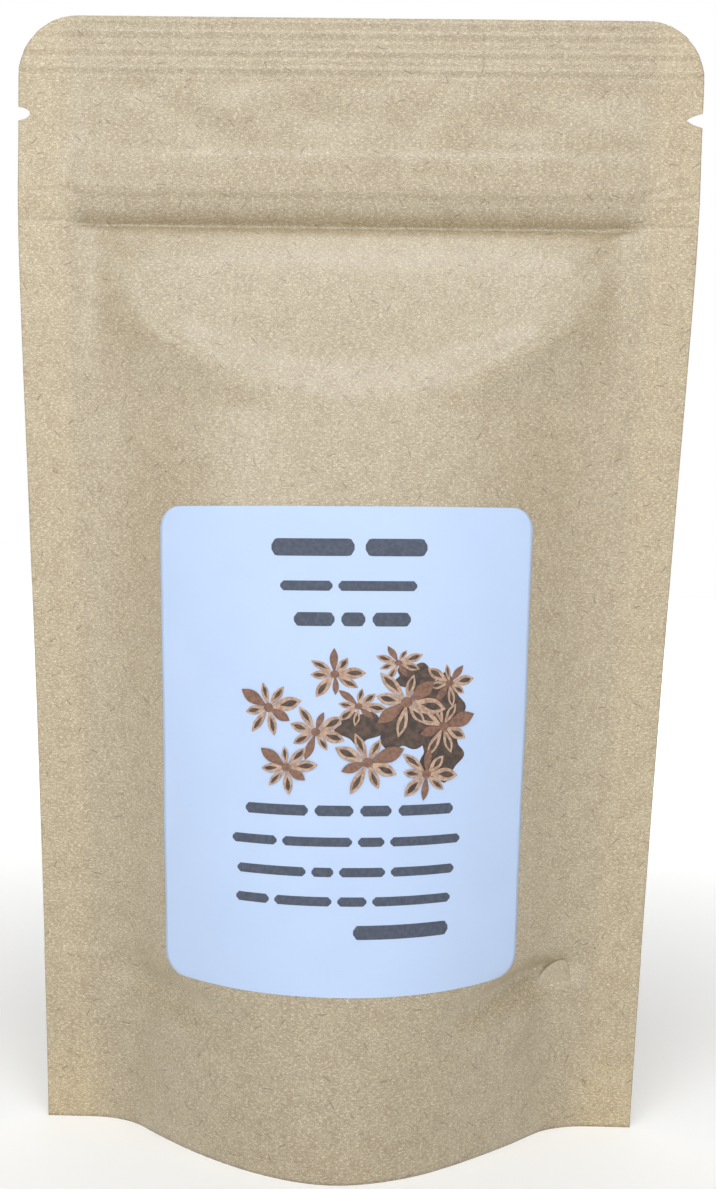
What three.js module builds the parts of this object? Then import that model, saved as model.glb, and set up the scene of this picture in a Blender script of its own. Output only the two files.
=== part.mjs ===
import * as THREE from 'three';

// A stand-up pouch of kraft paper, filled and zipped shut, with a white label on its front.
// Millimetres and degrees, +Z up. The front faces -Y and the pouch stands on Z = 0.
// A panel is laid out flat as u, across from its middle, and z, up from its bottom edge.

// Panels
const PANEL_WIDTH = 150;
const PANEL_HEIGHT = 245;
const HALF_WIDTH = PANEL_WIDTH / 2;
const SIDE_SEAL = 8;
const SHEET_GAP = 1.2; // both panels together, where they lie flat on each other
const CORNER_RADIUS = 13;
const OUT_OF_SQUARE = 1.8; // how much longer the right edge was cut than the left one

// Fill: how far each half panel turns away from flat, at the bottom edge
const FRONT_TURN = 45;
const BACK_TURN = 47;
const TURN_START_POWER = 1.5;
const TURN_END_POWER = 0.6;

// Tear notches
const NOTCH_HEIGHT = 224;
const NOTCH_HALF_GAP = 1.3;
const NOTCH_DEPTH_LEFT = 2.2;
const NOTCH_DEPTH_RIGHT = 3.2;

// Zip, which swells both panels, and the crease under it where the filled part begins
const CREASE_HEIGHT = 201;
const ZIP_BOTTOM = 206.5;
const ZIP_TOP = 216.5;
const ZIP_SWELL = 0.9;
const ZIP_SHOULDER = 1.8;
const ZIP_INSET = 4; // the zip fades out this far from each side seal

// Ribs of the top heat seal
const RIB_COUNT = 3;
const RIB_PITCH = 3.9;
const TOP_RIB_HEIGHT = 241.4;
const RIB_SWELL = 0.45;

// Bottom gusset, seen only from below
const GUSSET_HEIGHT = 38;
const GUSSET_SEAM_HEIGHT = 6;
const GUSSET_FLAT_HALF = 22; // half length of the part of the gusset that lies on the ground
const GUSSET_FLAT_SHARE = 0.5; // how much of the way from seam to seam that part takes up
const GUSSET_END = 58; // the gusset's hollow closes this far from the middle
const SKIRT_WALL = 1.2;

// Label
const LABEL_WIDTH = 84.7;
const LABEL_HEIGHT = 101.6;
const LABEL_CORNER = 5;
const LABEL_THICKNESS = 0.3;
const LABEL_GAP = 0.3;
const LABEL_CENTRE_U = -0.9;
const LABEL_CENTRE_RISE = 88.3; // measured up the front panel's middle
const LABEL_TILT = 0.5;

// Facets
const COLUMNS = 40;
const BODY_ROW = 8;
const SECTION_STEPS = 60;
const LABEL_COLUMNS = 18;
const LABEL_ROWS = 14;
const LABEL_CORNER_ROWS = 3;
const HOLLOW_STEPS = 8;

const { clamp, degToRad, lerp, smoothstep } = THREE.MathUtils;

// How a panel's cross-section changes from its bottom edge to the crease. nose is the part of the
// half panel over which it turns away from flat, nosePower how flat the middle of that stays, and
// foldBack the width over which it turns back into the side seal.
const FRONT_PANEL = {
  side: -1,
  turn: FRONT_TURN,
  ridgeShift: -1,
  nose: [0.8, 0.55],
  nosePower: [0.8, 2.2],
  foldBack: [18, 22],
};
const BACK_PANEL = {
  side: 1,
  turn: BACK_TURN,
  ridgeShift: 0,
  nose: [0.9, 0.8],
  nosePower: [0.9, 1.2],
  foldBack: [18, 22],
};

// The turn of the panel at u, as a part of its greatest turn at that height.
function turnShare(panel, u, filled) {
  const half = HALF_WIDTH - SIDE_SEAL;
  const foldBack = lerp(...panel.foldBack, filled);
  const nose = lerp(...panel.nose, filled) * half;
  const power = lerp(...panel.nosePower, filled);
  const shift = panel.ridgeShift * (1 - filled) * (1 - (u / HALF_WIDTH) ** 2);
  const across = Math.abs(u - shift);
  const rise = Math.sin(clamp(across / nose, 0, 1) * Math.PI / 2) ** power;
  return rise * (1 - smoothstep(across, half - foldBack, half)) * Math.sign(u - shift);
}

// The panel's cross-section at one height. The paper does not stretch, so it is walked along at
// its flat length, and the width that the bulge takes up comes off the pouch's own width.
const sections = new Map();
function section(panel, z) {
  const key = `${panel.side} ${z.toFixed(3)}`;
  if (!sections.has(key)) {
    const filled = clamp(z / CREASE_HEIGHT, 0, 1);
    const turn = degToRad(panel.turn) * (1 - filled ** TURN_START_POWER) ** TURN_END_POWER;
    const step = PANEL_WIDTH / SECTION_STEPS;
    const xs = [0];
    const ys = [0];
    for (let i = 0; i < SECTION_STEPS; i += 1) {
      const angle = turn * turnShare(panel, (i + 0.5) * step - HALF_WIDTH, filled);
      xs.push(xs[i] + Math.cos(angle) * step);
      ys.push(ys[i] + Math.sin(angle) * step);
    }
    const width = xs[SECTION_STEPS];
    const drift = ys[SECTION_STEPS] / SECTION_STEPS;
    sections.set(key, { xs, depths: ys.map((y, i) => i * drift - y), width });
  }
  return sections.get(key);
}

function sample(values, u) {
  const place = clamp((u + HALF_WIDTH) / PANEL_WIDTH, 0, 1) * SECTION_STEPS;
  const index = Math.min(Math.floor(place), SECTION_STEPS - 1);
  return lerp(values[index], values[index + 1], place - index);
}

// How far the zip and the ribs of the top seal stand out of the panel.
function swell(u, z) {
  const zipRise = smoothstep(z, ZIP_BOTTOM - ZIP_SHOULDER, ZIP_BOTTOM);
  const zipFall = 1 - smoothstep(z, ZIP_TOP, ZIP_TOP + ZIP_SHOULDER);
  const zipEnd = HALF_WIDTH - SIDE_SEAL;
  const zipFade = 1 - smoothstep(Math.abs(u), zipEnd - ZIP_INSET, zipEnd);
  let height = ZIP_SWELL * zipRise * zipFall * zipFade;
  for (let i = 0; i < RIB_COUNT; i += 1) {
    const away = Math.abs(z - TOP_RIB_HEIGHT + i * RIB_PITCH) / (RIB_PITCH / 2);
    height += RIB_SWELL * Math.cos(clamp(away, 0, 1) * Math.PI / 2) ** 2;
  }
  return height;
}

// Both panels share one half width at each height, the front panel's.
function panelPoint(panel, u, z) {
  const own = section(panel, z);
  const width = section(FRONT_PANEL, z).width;
  const x = (sample(own.xs, u) / own.width - 0.5) * width;
  const depth = sample(own.depths, u) + SHEET_GAP / 2 + swell(u, z);
  const height = z + OUT_OF_SQUARE * (u / PANEL_WIDTH) * (z / PANEL_HEIGHT);
  return new THREE.Vector3(x, panel.side * depth, height);
}

// The flat panel's half width: its round top corners and its tear notches.
function halfWidth(z, side) {
  const intoCorner = Math.max(z - (PANEL_HEIGHT - CORNER_RADIUS), 0);
  const corner = CORNER_RADIUS - Math.sqrt(CORNER_RADIUS ** 2 - intoCorner ** 2);
  const notchDepth = side < 0 ? NOTCH_DEPTH_LEFT : NOTCH_DEPTH_RIGHT;
  const notch = notchDepth * clamp(1 - Math.abs(z - NOTCH_HEIGHT) / NOTCH_HALF_GAP, 0, 1);
  return HALF_WIDTH - corner - notch;
}

// Rows of facets: even ones up the filled part, then only where the paper bends.
function panelRows() {
  const rows = [];
  const shoulderStart = CREASE_HEIGHT - BODY_ROW;
  const count = Math.round(shoulderStart / BODY_ROW);
  for (let i = 0; i <= count; i += 1) rows.push(shoulderStart * i / count);
  rows.push(lerp(shoulderStart, CREASE_HEIGHT, 0.5), lerp(shoulderStart, CREASE_HEIGHT, 0.85));
  rows.push(CREASE_HEIGHT);
  rows.push(ZIP_BOTTOM - ZIP_SHOULDER, ZIP_BOTTOM, ZIP_TOP, ZIP_TOP + ZIP_SHOULDER);
  rows.push(NOTCH_HEIGHT - NOTCH_HALF_GAP, NOTCH_HEIGHT, NOTCH_HEIGHT + NOTCH_HALF_GAP);
  const bottomRib = TOP_RIB_HEIGHT - (RIB_COUNT - 1) * RIB_PITCH;
  for (let z = bottomRib - RIB_PITCH / 2; z < TOP_RIB_HEIGHT + RIB_PITCH * 0.6; z += RIB_PITCH / 4) {
    rows.push(z);
  }
  rows.push(lerp(rows.at(-1), PANEL_HEIGHT, 0.6), PANEL_HEIGHT);
  return rows;
}

// The gusset's two seams rise from the middle of each panel's bottom edge to the side seals, and
// between them it lies on the ground in the middle and is folded upwards at the sides.
function seamHeight(u) {
  const rise = smoothstep(Math.abs(u), GUSSET_FLAT_HALF, GUSSET_END);
  return lerp(GUSSET_SEAM_HEIGHT, GUSSET_HEIGHT - GUSSET_SEAM_HEIGHT, rise);
}

function foldHeight(u) {
  return GUSSET_HEIGHT * smoothstep(Math.abs(u), GUSSET_FLAT_HALF, GUSSET_END);
}

// One line across the underside at u, from the front panel's bottom edge to the back panel's.
function undersideLine(u) {
  const front = panelPoint(FRONT_PANEL, u, 0);
  const back = panelPoint(BACK_PANEL, u, 0);
  const open = 1 - smoothstep(Math.abs(u), GUSSET_END - GUSSET_SEAM_HEIGHT, GUSSET_END);
  const wall = Math.min(SKIRT_WALL, (back.y - front.y) / 4);
  const inner = (panel, z) => {
    const point = panelPoint(panel, u, z);
    return point.setY(point.y - panel.side * wall).setZ(z);
  };
  const seam = seamHeight(u) * open;
  const seamFront = inner(FRONT_PANEL, seam);
  const seamBack = inner(BACK_PANEL, seam);
  const line = [inner(FRONT_PANEL, 0), seamFront];
  for (let i = 1; i < HOLLOW_STEPS; i += 1) {
    const share = i / HOLLOW_STEPS;
    const past = Math.max(Math.abs(2 * share - 1) - GUSSET_FLAT_SHARE, 0);
    const rise = (past / (1 - GUSSET_FLAT_SHARE)) ** 1.5;
    const point = seamFront.clone().lerp(seamBack, share);
    line.push(point.setZ(lerp(foldHeight(u) * open, seam, rise)));
  }
  line.push(seamBack, inner(BACK_PANEL, 0));
  return line;
}

// A closed mesh from a front and a back grid of points, with any points that lie under them on the
// way from the back grid's first row to the front one's.
function closedMesh(front, back, under) {
  const loops = front[0].map((_, column) => [
    ...front.map((row) => row[column]),
    ...back.map((row) => row[column]).reverse(),
    ...under[column],
  ]);
  const rows = front.length;
  const size = loops[0].length;
  const positions = loops.flat().flatMap((point) => point.toArray());
  const triangles = [];
  for (let column = 0; column + 1 < loops.length; column += 1) {
    for (let i = 0; i < size; i += 1) {
      const [a, b] = [column * size + i, column * size + (i + 1) % size];
      triangles.push(a, a + size, b + size, a, b + size, b);
    }
  }
  const closeEnd = (start, flip) => {
    const face = (a, b, c) => triangles.push(start + a, start + (flip ? c : b), start + (flip ? b : c));
    for (let i = 0; i + 1 < rows; i += 1) {
      const [backLow, backHigh] = [2 * rows - 1 - i, 2 * rows - 2 - i];
      face(i, i + 1, backHigh);
      if (i > 0) face(i, backHigh, backLow);
    }
    for (let i = 2 * rows - 1; i < size; i += 1) face(2 * rows - 2, i, (i + 1) % size);
  };
  closeEnd(0, false);
  closeEnd((loops.length - 1) * size, true);
  const geometry = new THREE.BufferGeometry();
  geometry.setAttribute('position', new THREE.Float32BufferAttribute(positions, 3));
  geometry.setIndex(triangles);
  geometry.computeVertexNormals();
  return geometry;
}

// Columns stand closer together beside the side seals, where the panel folds back.
function columnPlaces(count) {
  const spread = (share) => share - 0.045 * Math.sin(share * Math.PI * 2);
  return Array.from({ length: count + 1 }, (_, i) => 2 * spread(i / count) - 1);
}

function pouchGeometry() {
  const places = columnPlaces(COLUMNS);
  const rows = panelRows();
  const grid = (panel) => rows.map((z) => places.map((place) => (
    panelPoint(panel, place * halfWidth(z, place), z)
  )));
  const under = places.map((place) => undersideLine(place * HALF_WIDTH).reverse());
  return closedMesh(grid(FRONT_PANEL), grid(BACK_PANEL), under);
}

// The height of the point that lies the given length up the front panel's middle.
function heightAtRise(rise) {
  const step = 1;
  let walked = 0;
  let z = 0;
  while (walked < rise) {
    const here = panelPoint(FRONT_PANEL, 0, z);
    walked += here.distanceTo(panelPoint(FRONT_PANEL, 0, z + step));
    z += step;
  }
  return z - (walked - rise);
}

function frontNormal(u, z) {
  const reach = 1.5;
  const across = panelPoint(FRONT_PANEL, u + reach, z).sub(panelPoint(FRONT_PANEL, u - reach, z));
  const up = panelPoint(FRONT_PANEL, u, z + reach).sub(panelPoint(FRONT_PANEL, u, Math.max(z - reach, 0)));
  return across.cross(up).normalize();
}

// The label lies on the front panel: a is across it and b up it, from its middle.
function labelPoint(a, b, proud) {
  const tilt = degToRad(LABEL_TILT);
  const u = LABEL_CENTRE_U + a * Math.cos(tilt) - b * Math.sin(tilt);
  const rise = LABEL_CENTRE_RISE + a * Math.sin(tilt) + b * Math.cos(tilt);
  const z = heightAtRise(rise);
  return panelPoint(FRONT_PANEL, u, z).addScaledVector(frontNormal(u, z), proud);
}

function labelGeometry() {
  const straight = LABEL_HEIGHT / 2 - LABEL_CORNER;
  const rows = [];
  for (let i = 0; i <= LABEL_CORNER_ROWS; i += 1) {
    const angle = (i / LABEL_CORNER_ROWS) * Math.PI / 2;
    const inset = LABEL_CORNER * (1 - Math.sin(angle));
    rows.push({ b: straight + LABEL_CORNER * Math.cos(angle), inset });
  }
  for (let i = 1; i < LABEL_ROWS / 2; i += 1) {
    rows.push({ b: straight * (1 - 2 * i / LABEL_ROWS), inset: 0 });
  }
  const upper = rows.toReversed();
  const lower = rows.map(({ b, inset }) => ({ b: -b, inset }));
  const all = [...lower, { b: 0, inset: 0 }, ...upper];
  const grid = (proud) => all.map(({ b, inset }) => {
    const half = LABEL_WIDTH / 2 - inset;
    return Array.from({ length: LABEL_COLUMNS + 1 }, (_, i) => (
      labelPoint(half * (2 * i / LABEL_COLUMNS - 1), b, proud)
    ));
  });
  const none = Array.from({ length: LABEL_COLUMNS + 1 }, () => []);
  return closedMesh(grid(LABEL_GAP + LABEL_THICKNESS), grid(LABEL_GAP), none);
}

function namedMesh(name, geometry, material) {
  const mesh = new THREE.Mesh(geometry, material);
  mesh.name = name;
  return mesh;
}

const kraft = new THREE.MeshStandardMaterial({ color: 0xc1b499, roughness: 0.62, metalness: 0 });
const whitePaper = new THREE.MeshStandardMaterial({ color: 0xc8dcfa, roughness: 0.5, metalness: 0 });

const group = new THREE.Group();
group.add(namedMesh('pouch', pouchGeometry(), kraft));
group.add(namedMesh('label', labelGeometry(), whitePaper));

// The origin is the middle of the box round it all, on the ground.
const box = new THREE.Box3().setFromObject(group, true);
const middle = box.getCenter(new THREE.Vector3());
for (const mesh of group.children) mesh.geometry.translate(-middle.x, -middle.y, -box.min.z);

export default group;
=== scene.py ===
"""The looks of a filled kraft-paper stand-up pouch with a white label on its front.

Sizes are millimetres on the flat panel: u runs across from the panel's middle and z up from its
bottom edge. Meshes are metres, +Z up, and the labelled front faces -Y.
"""

import logging
import math
from collections.abc import Callable, Sequence
from dataclasses import dataclass, field
from enum import Enum, IntEnum
from functools import partial

import bmesh
import bpy
import numpy as np
from mathutils import Matrix, Vector, noise


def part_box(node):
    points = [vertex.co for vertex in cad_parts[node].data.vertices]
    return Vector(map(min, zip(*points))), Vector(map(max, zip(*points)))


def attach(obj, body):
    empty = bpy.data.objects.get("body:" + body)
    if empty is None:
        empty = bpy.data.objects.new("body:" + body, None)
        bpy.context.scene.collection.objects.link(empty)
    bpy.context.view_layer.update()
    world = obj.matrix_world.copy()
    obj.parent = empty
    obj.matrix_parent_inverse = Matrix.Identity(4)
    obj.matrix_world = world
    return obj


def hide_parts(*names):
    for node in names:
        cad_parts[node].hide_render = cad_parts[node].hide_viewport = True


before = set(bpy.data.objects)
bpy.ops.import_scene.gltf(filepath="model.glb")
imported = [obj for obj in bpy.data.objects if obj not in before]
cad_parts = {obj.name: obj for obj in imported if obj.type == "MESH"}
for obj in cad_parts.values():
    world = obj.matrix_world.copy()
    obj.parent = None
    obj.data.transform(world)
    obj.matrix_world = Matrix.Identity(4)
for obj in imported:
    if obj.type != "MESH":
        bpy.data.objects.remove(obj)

Array = np.ndarray
Stops = tuple[tuple[float, float], ...]
MM = 0.001
FLAT_MAP = "flat_panel"
LOG = logging.getLogger("pouch")


# ---------------------------------------------------------------------------------------------
# Small helpers
# ---------------------------------------------------------------------------------------------


def eased(values: Array, low: float, high: float) -> Array:
    """Returns 0 below low, 1 above high and a smooth rise between them."""
    share = np.clip((values - low) / (high - low), 0.0, 1.0)
    return share * share * (3.0 - 2.0 * share)


def hump(values: Array, centre: float, half: float) -> Array:
    """Returns a rounded rise, 1 at centre and 0 from half away on both sides."""
    away = np.clip(np.abs(values - centre) / half, 0.0, 1.0)
    return np.cos(away * math.pi / 2) ** 2


def between(low: float | Array, high: float | Array, share: float | Array) -> float | Array:
    """Returns the value that lies share of the way from low to high."""
    return low + (high - low) * share


def rounded_line(places: Array, stops: Stops, reach: float) -> Array:
    """Reads a line through stops, with its corners rounded.

    Args:
        places: Where to read it.
        stops: Places in rising order, each with the line's value there.
        reach: How far to each side of a corner it is rounded.

    Returns:
        The line's value at each place.
    """
    at, values = zip(*stops)
    return sum(np.interp(places + shift, at, values) for shift in (-reach, 0.0, reach)) / 3


def graded(stops: Sequence[tuple[float, float]]) -> Array:
    """Spaces places along a line, closer together where more detail is needed.

    Args:
        stops: Places in rising order, each with the step wanted there, in millimetres.

    Returns:
        The places, from the first stop to the last.
    """
    at, steps = zip(*stops)
    places = [at[0]]
    while places[-1] < at[-1]:
        places.append(places[-1] + float(np.interp(places[-1], at, steps)))
    line = np.array(places)
    return at[0] + (line - at[0]) * (at[-1] - at[0]) / (line[-1] - at[0])


def mirrored(stops: Sequence[tuple[float, float]]) -> list[tuple[float, float]]:
    """Returns stops that run out from 0, with the same ones on the other side of it first."""
    return [(-at, step) for at, step in reversed(stops) if at > 0] + list(stops)


def waviness(u: Array, z: Array, size: float, seed: float) -> Array:
    """Gives soft unevenness from a seeded noise.

    Args:
        u: Places across, in millimetres.
        z: Places up, in millimetres.
        size: Distance from one rise to the next, in millimetres.
        seed: Shifts the pattern.

    Returns:
        Values from about -1 to 1.
    """
    points = zip((u / size).tolist(), (z / size).tolist())
    return np.array([noise.noise(Vector((a, b, seed))) for a, b in points])


def linear(colour: str) -> tuple[float, float, float, float]:
    """Turns an sRGB colour into the linear colour that shaders take.

    Args:
        colour: The colour as hex digits.

    Returns:
        Red, green, blue and an alpha of 1.
    """
    channels = [int(colour.lstrip("#")[i : i + 2], 16) / 255 for i in (0, 2, 4)]
    turned = [c / 12.92 if c <= 0.04045 else ((c + 0.055) / 1.055) ** 2.4 for c in channels]
    return (*turned, 1.0)


# ---------------------------------------------------------------------------------------------
# Shape of the paper
# ---------------------------------------------------------------------------------------------


class Side(Enum):
    """Which way a panel faces along Y."""

    FRONT = -1
    BACK = 1


@dataclass(frozen=True)
class FlatPouch:
    """The pouch before it is filled, in millimetres."""

    width: float = 150.0
    height: float = 245.0
    side_seal: float = 8.0
    corner_radius: float = 13.0
    out_of_square: float = 1.8
    crease: float = 201.0
    gusset: float = 38.0
    laminate: float = 0.18
    notch_height: float = 224.0

    @property
    def half(self) -> float:
        """Half the flat width."""
        return self.width / 2

    @property
    def inner_half(self) -> float:
        """Half the width between the side seals."""
        return self.half - self.side_seal


@dataclass(frozen=True)
class Bulge:
    """How a panel's cross-section changes from its bottom edge to the crease.

    turn is how far each half turns away from flat at the bottom, in degrees. nose is the part of
    the half over which it turns, nose_power how flat the middle of that stays, and fold_back the
    width over which it turns back into the side seal.
    """

    turn: float
    ridge_shift: float
    nose: tuple[float, float]
    nose_power: tuple[float, float]
    fold_back: tuple[float, float] = (18.0, 22.0)
    start_power: float = 1.5
    end_power: float = 0.6

    def angles(self, flat: FlatPouch, u: Array, filled: Array) -> Array:
        """Gives the paper's turn, in radians.

        Args:
            flat: The flat pouch.
            u: Places across.
            filled: Heights as a share of the crease's height.

        Returns:
            The turn at each height and place.
        """
        fold_back = between(*self.fold_back, filled)
        nose = between(*self.nose, filled) * flat.inner_half
        power = between(*self.nose_power, filled)
        shift = self.ridge_shift * (1 - filled) * (1 - (u / flat.half) ** 2)
        across = np.abs(u - shift)
        rise = np.sin(np.clip(across / nose, 0, 1) * math.pi / 2) ** power
        back = np.clip((across - (flat.inner_half - fold_back)) / fold_back, 0, 1)
        share = rise * (1 - back * back * (3 - 2 * back)) * np.sign(u - shift)
        turn = math.radians(self.turn) * (1 - filled**self.start_power) ** self.end_power
        return turn * share


@dataclass(frozen=True)
class Wrinkle:
    """A short fold in the paper, from one flat place to another."""

    start: tuple[float, float]
    end: tuple[float, float]
    height: float
    half_width: float
    taper: float = 0.7

    def rise(self, u: Array, z: Array) -> Array:
        """Gives how far the fold stands out of the paper.

        Args:
            u: Places across.
            z: Places up.

        Returns:
            The height at each place, in millimetres.
        """
        start, end = np.array(self.start), np.array(self.end)
        along = end - start
        length = float(np.hypot(*along))
        away_u, away_z = u - start[0], z - start[1]
        share = (away_u * along[0] + away_z * along[1]) / length**2
        sideways = (away_u * along[1] - away_z * along[0]) / length
        tapered = np.sin(np.clip(share, 0, 1) * math.pi) ** self.taper
        return self.height * tapered * np.exp(-((sideways / self.half_width) ** 2))


@dataclass(frozen=True)
class Dent:
    """A soft hollow, or a soft rise where depth is negative."""

    centre: tuple[float, float]
    reach: tuple[float, float]
    depth: float
    lean: float = 0.0

    def rise(self, u: Array, z: Array) -> Array:
        """Gives how far the paper stands out of its own form.

        Args:
            u: Places across.
            z: Places up.

        Returns:
            The height at each place, in millimetres.
        """
        turn = math.radians(self.lean)
        away_u, away_z = u - self.centre[0], z - self.centre[1]
        along = away_u * math.cos(turn) + away_z * math.sin(turn)
        across = away_z * math.cos(turn) - away_u * math.sin(turn)
        spread = (along / self.reach[0]) ** 2 + (across / self.reach[1]) ** 2
        return -self.depth * np.exp(-spread)


@dataclass(frozen=True)
class Shoulder:
    """How a panel falls from the top of what the pouch holds to the crease under the zip.

    fall is the depth of the flat facet in the middle at each height. It runs past the crease so
    that rounding it leaves no step there. climb is how much higher the facet's lower ridge lies
    at climb_half from the middle, up to climb_most. The side slopes run in from side_foot, and
    take over from the filled shape over side_reach.
    """

    fall: Stops = (
        (140.0, 19.6), (145.0, 17.6), (150.0, 16.0), (154.0, 14.95), (156.0, 14.38),
        (158.0, 13.72), (160.0, 12.95), (162.0, 12.08), (164.0, 11.14), (166.0, 10.15),
        (168.0, 9.17), (170.0, 8.22), (172.0, 7.58), (175.0, 7.0), (180.0, 6.16),
        (185.0, 5.3), (190.0, 4.34), (192.0, 3.77), (194.0, 3.05), (196.0, 2.26),
        (198.0, 1.42), (199.0, 0.97), (200.0, 0.5), (201.0, 0.0), (202.0, -0.5),
        (203.0, -0.97),
    )  # fmt: skip
    fall_roundness: float = 0.8
    crease_drop: float = 0.4
    climb: float = 30.0
    climb_half: float = 54.0
    climb_power: float = 2.5
    climb_most: float = 11.0
    climb_end: tuple[float, float] = (168.0, 199.0)
    side_foot: float = 59.5
    side_slope: float = 0.54
    foot_roundness: float = 2.5
    side_reach: tuple[float, float] = (158.0, 178.0)
    ridge_roundness: float = 3.0
    start: tuple[float, float] = (138.0, 152.0)

    def shape(self, flat: FlatPouch, depth: Array, u: Array, z: Array) -> Array:
        """Gives the panel's depth with its facet and side slopes.

        Args:
            flat: The flat pouch.
            depth: The panel's depth at each place without them.
            u: Places across.
            z: Places up.

        Returns:
            The depth at each place, in millimetres.
        """
        climb = self.climb * (np.abs(u) / self.climb_half) ** self.climb_power
        climb = self.climb_most * np.tanh(climb / self.climb_most)
        place = z + self.crease_drop - climb * (1 - eased(z, *self.climb_end))
        facet = np.maximum(rounded_line(place, self.fall, self.fall_roundness), 0.0)
        inward = (self.side_foot - np.abs(u)) / self.foot_roundness
        slope = self.side_slope * self.foot_roundness * np.log1p(np.exp(inward))
        side = between(depth, slope, eased(z, *self.side_reach))
        spread = np.clip(facet + side, 0.01, self.ridge_roundness)
        near = np.clip(1 - np.abs(facet - side) / spread, 0, 1)
        shaped = np.minimum(facet, side) - near**2 * spread / 4
        return np.where(z < flat.crease, between(depth, shaped, eased(z, *self.start)), depth)


@dataclass(frozen=True)
class Sway:
    """How far both panels together lean back at the crease and forward at the top.

    The lean fades over reach_up and reach_down, and towards the side seals over side_fade, where
    side_share of it is left. crease_drop is how far below the crease it is deepest.
    """

    crease_back: float = 3.0
    crease_drop: float = 0.4
    reach_up: float = 4.2
    reach_down: float = 13.0
    top_forward: float = 1.2
    top_start: float = 216.0
    side_share: float = 0.15
    side_fade: tuple[float, float] = (58.0, 66.0)

    def shift(self, flat: FlatPouch, u: Array, z: Array) -> Array:
        """Gives how far the paper lies behind the seal plane.

        Args:
            flat: The flat pouch.
            u: Places across.
            z: Places up.

        Returns:
            The distance at each place, in millimetres.
        """
        away = z - flat.crease + self.crease_drop
        back = np.where(away > 0, np.exp(-away / self.reach_up), np.exp(away / self.reach_down))
        middle = between(1.0, self.side_share, eased(np.abs(u), *self.side_fade))
        climb = np.clip((z - self.top_start) / (flat.height - self.top_start), 0, 1)
        return self.crease_back * back * middle - self.top_forward * climb


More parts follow.
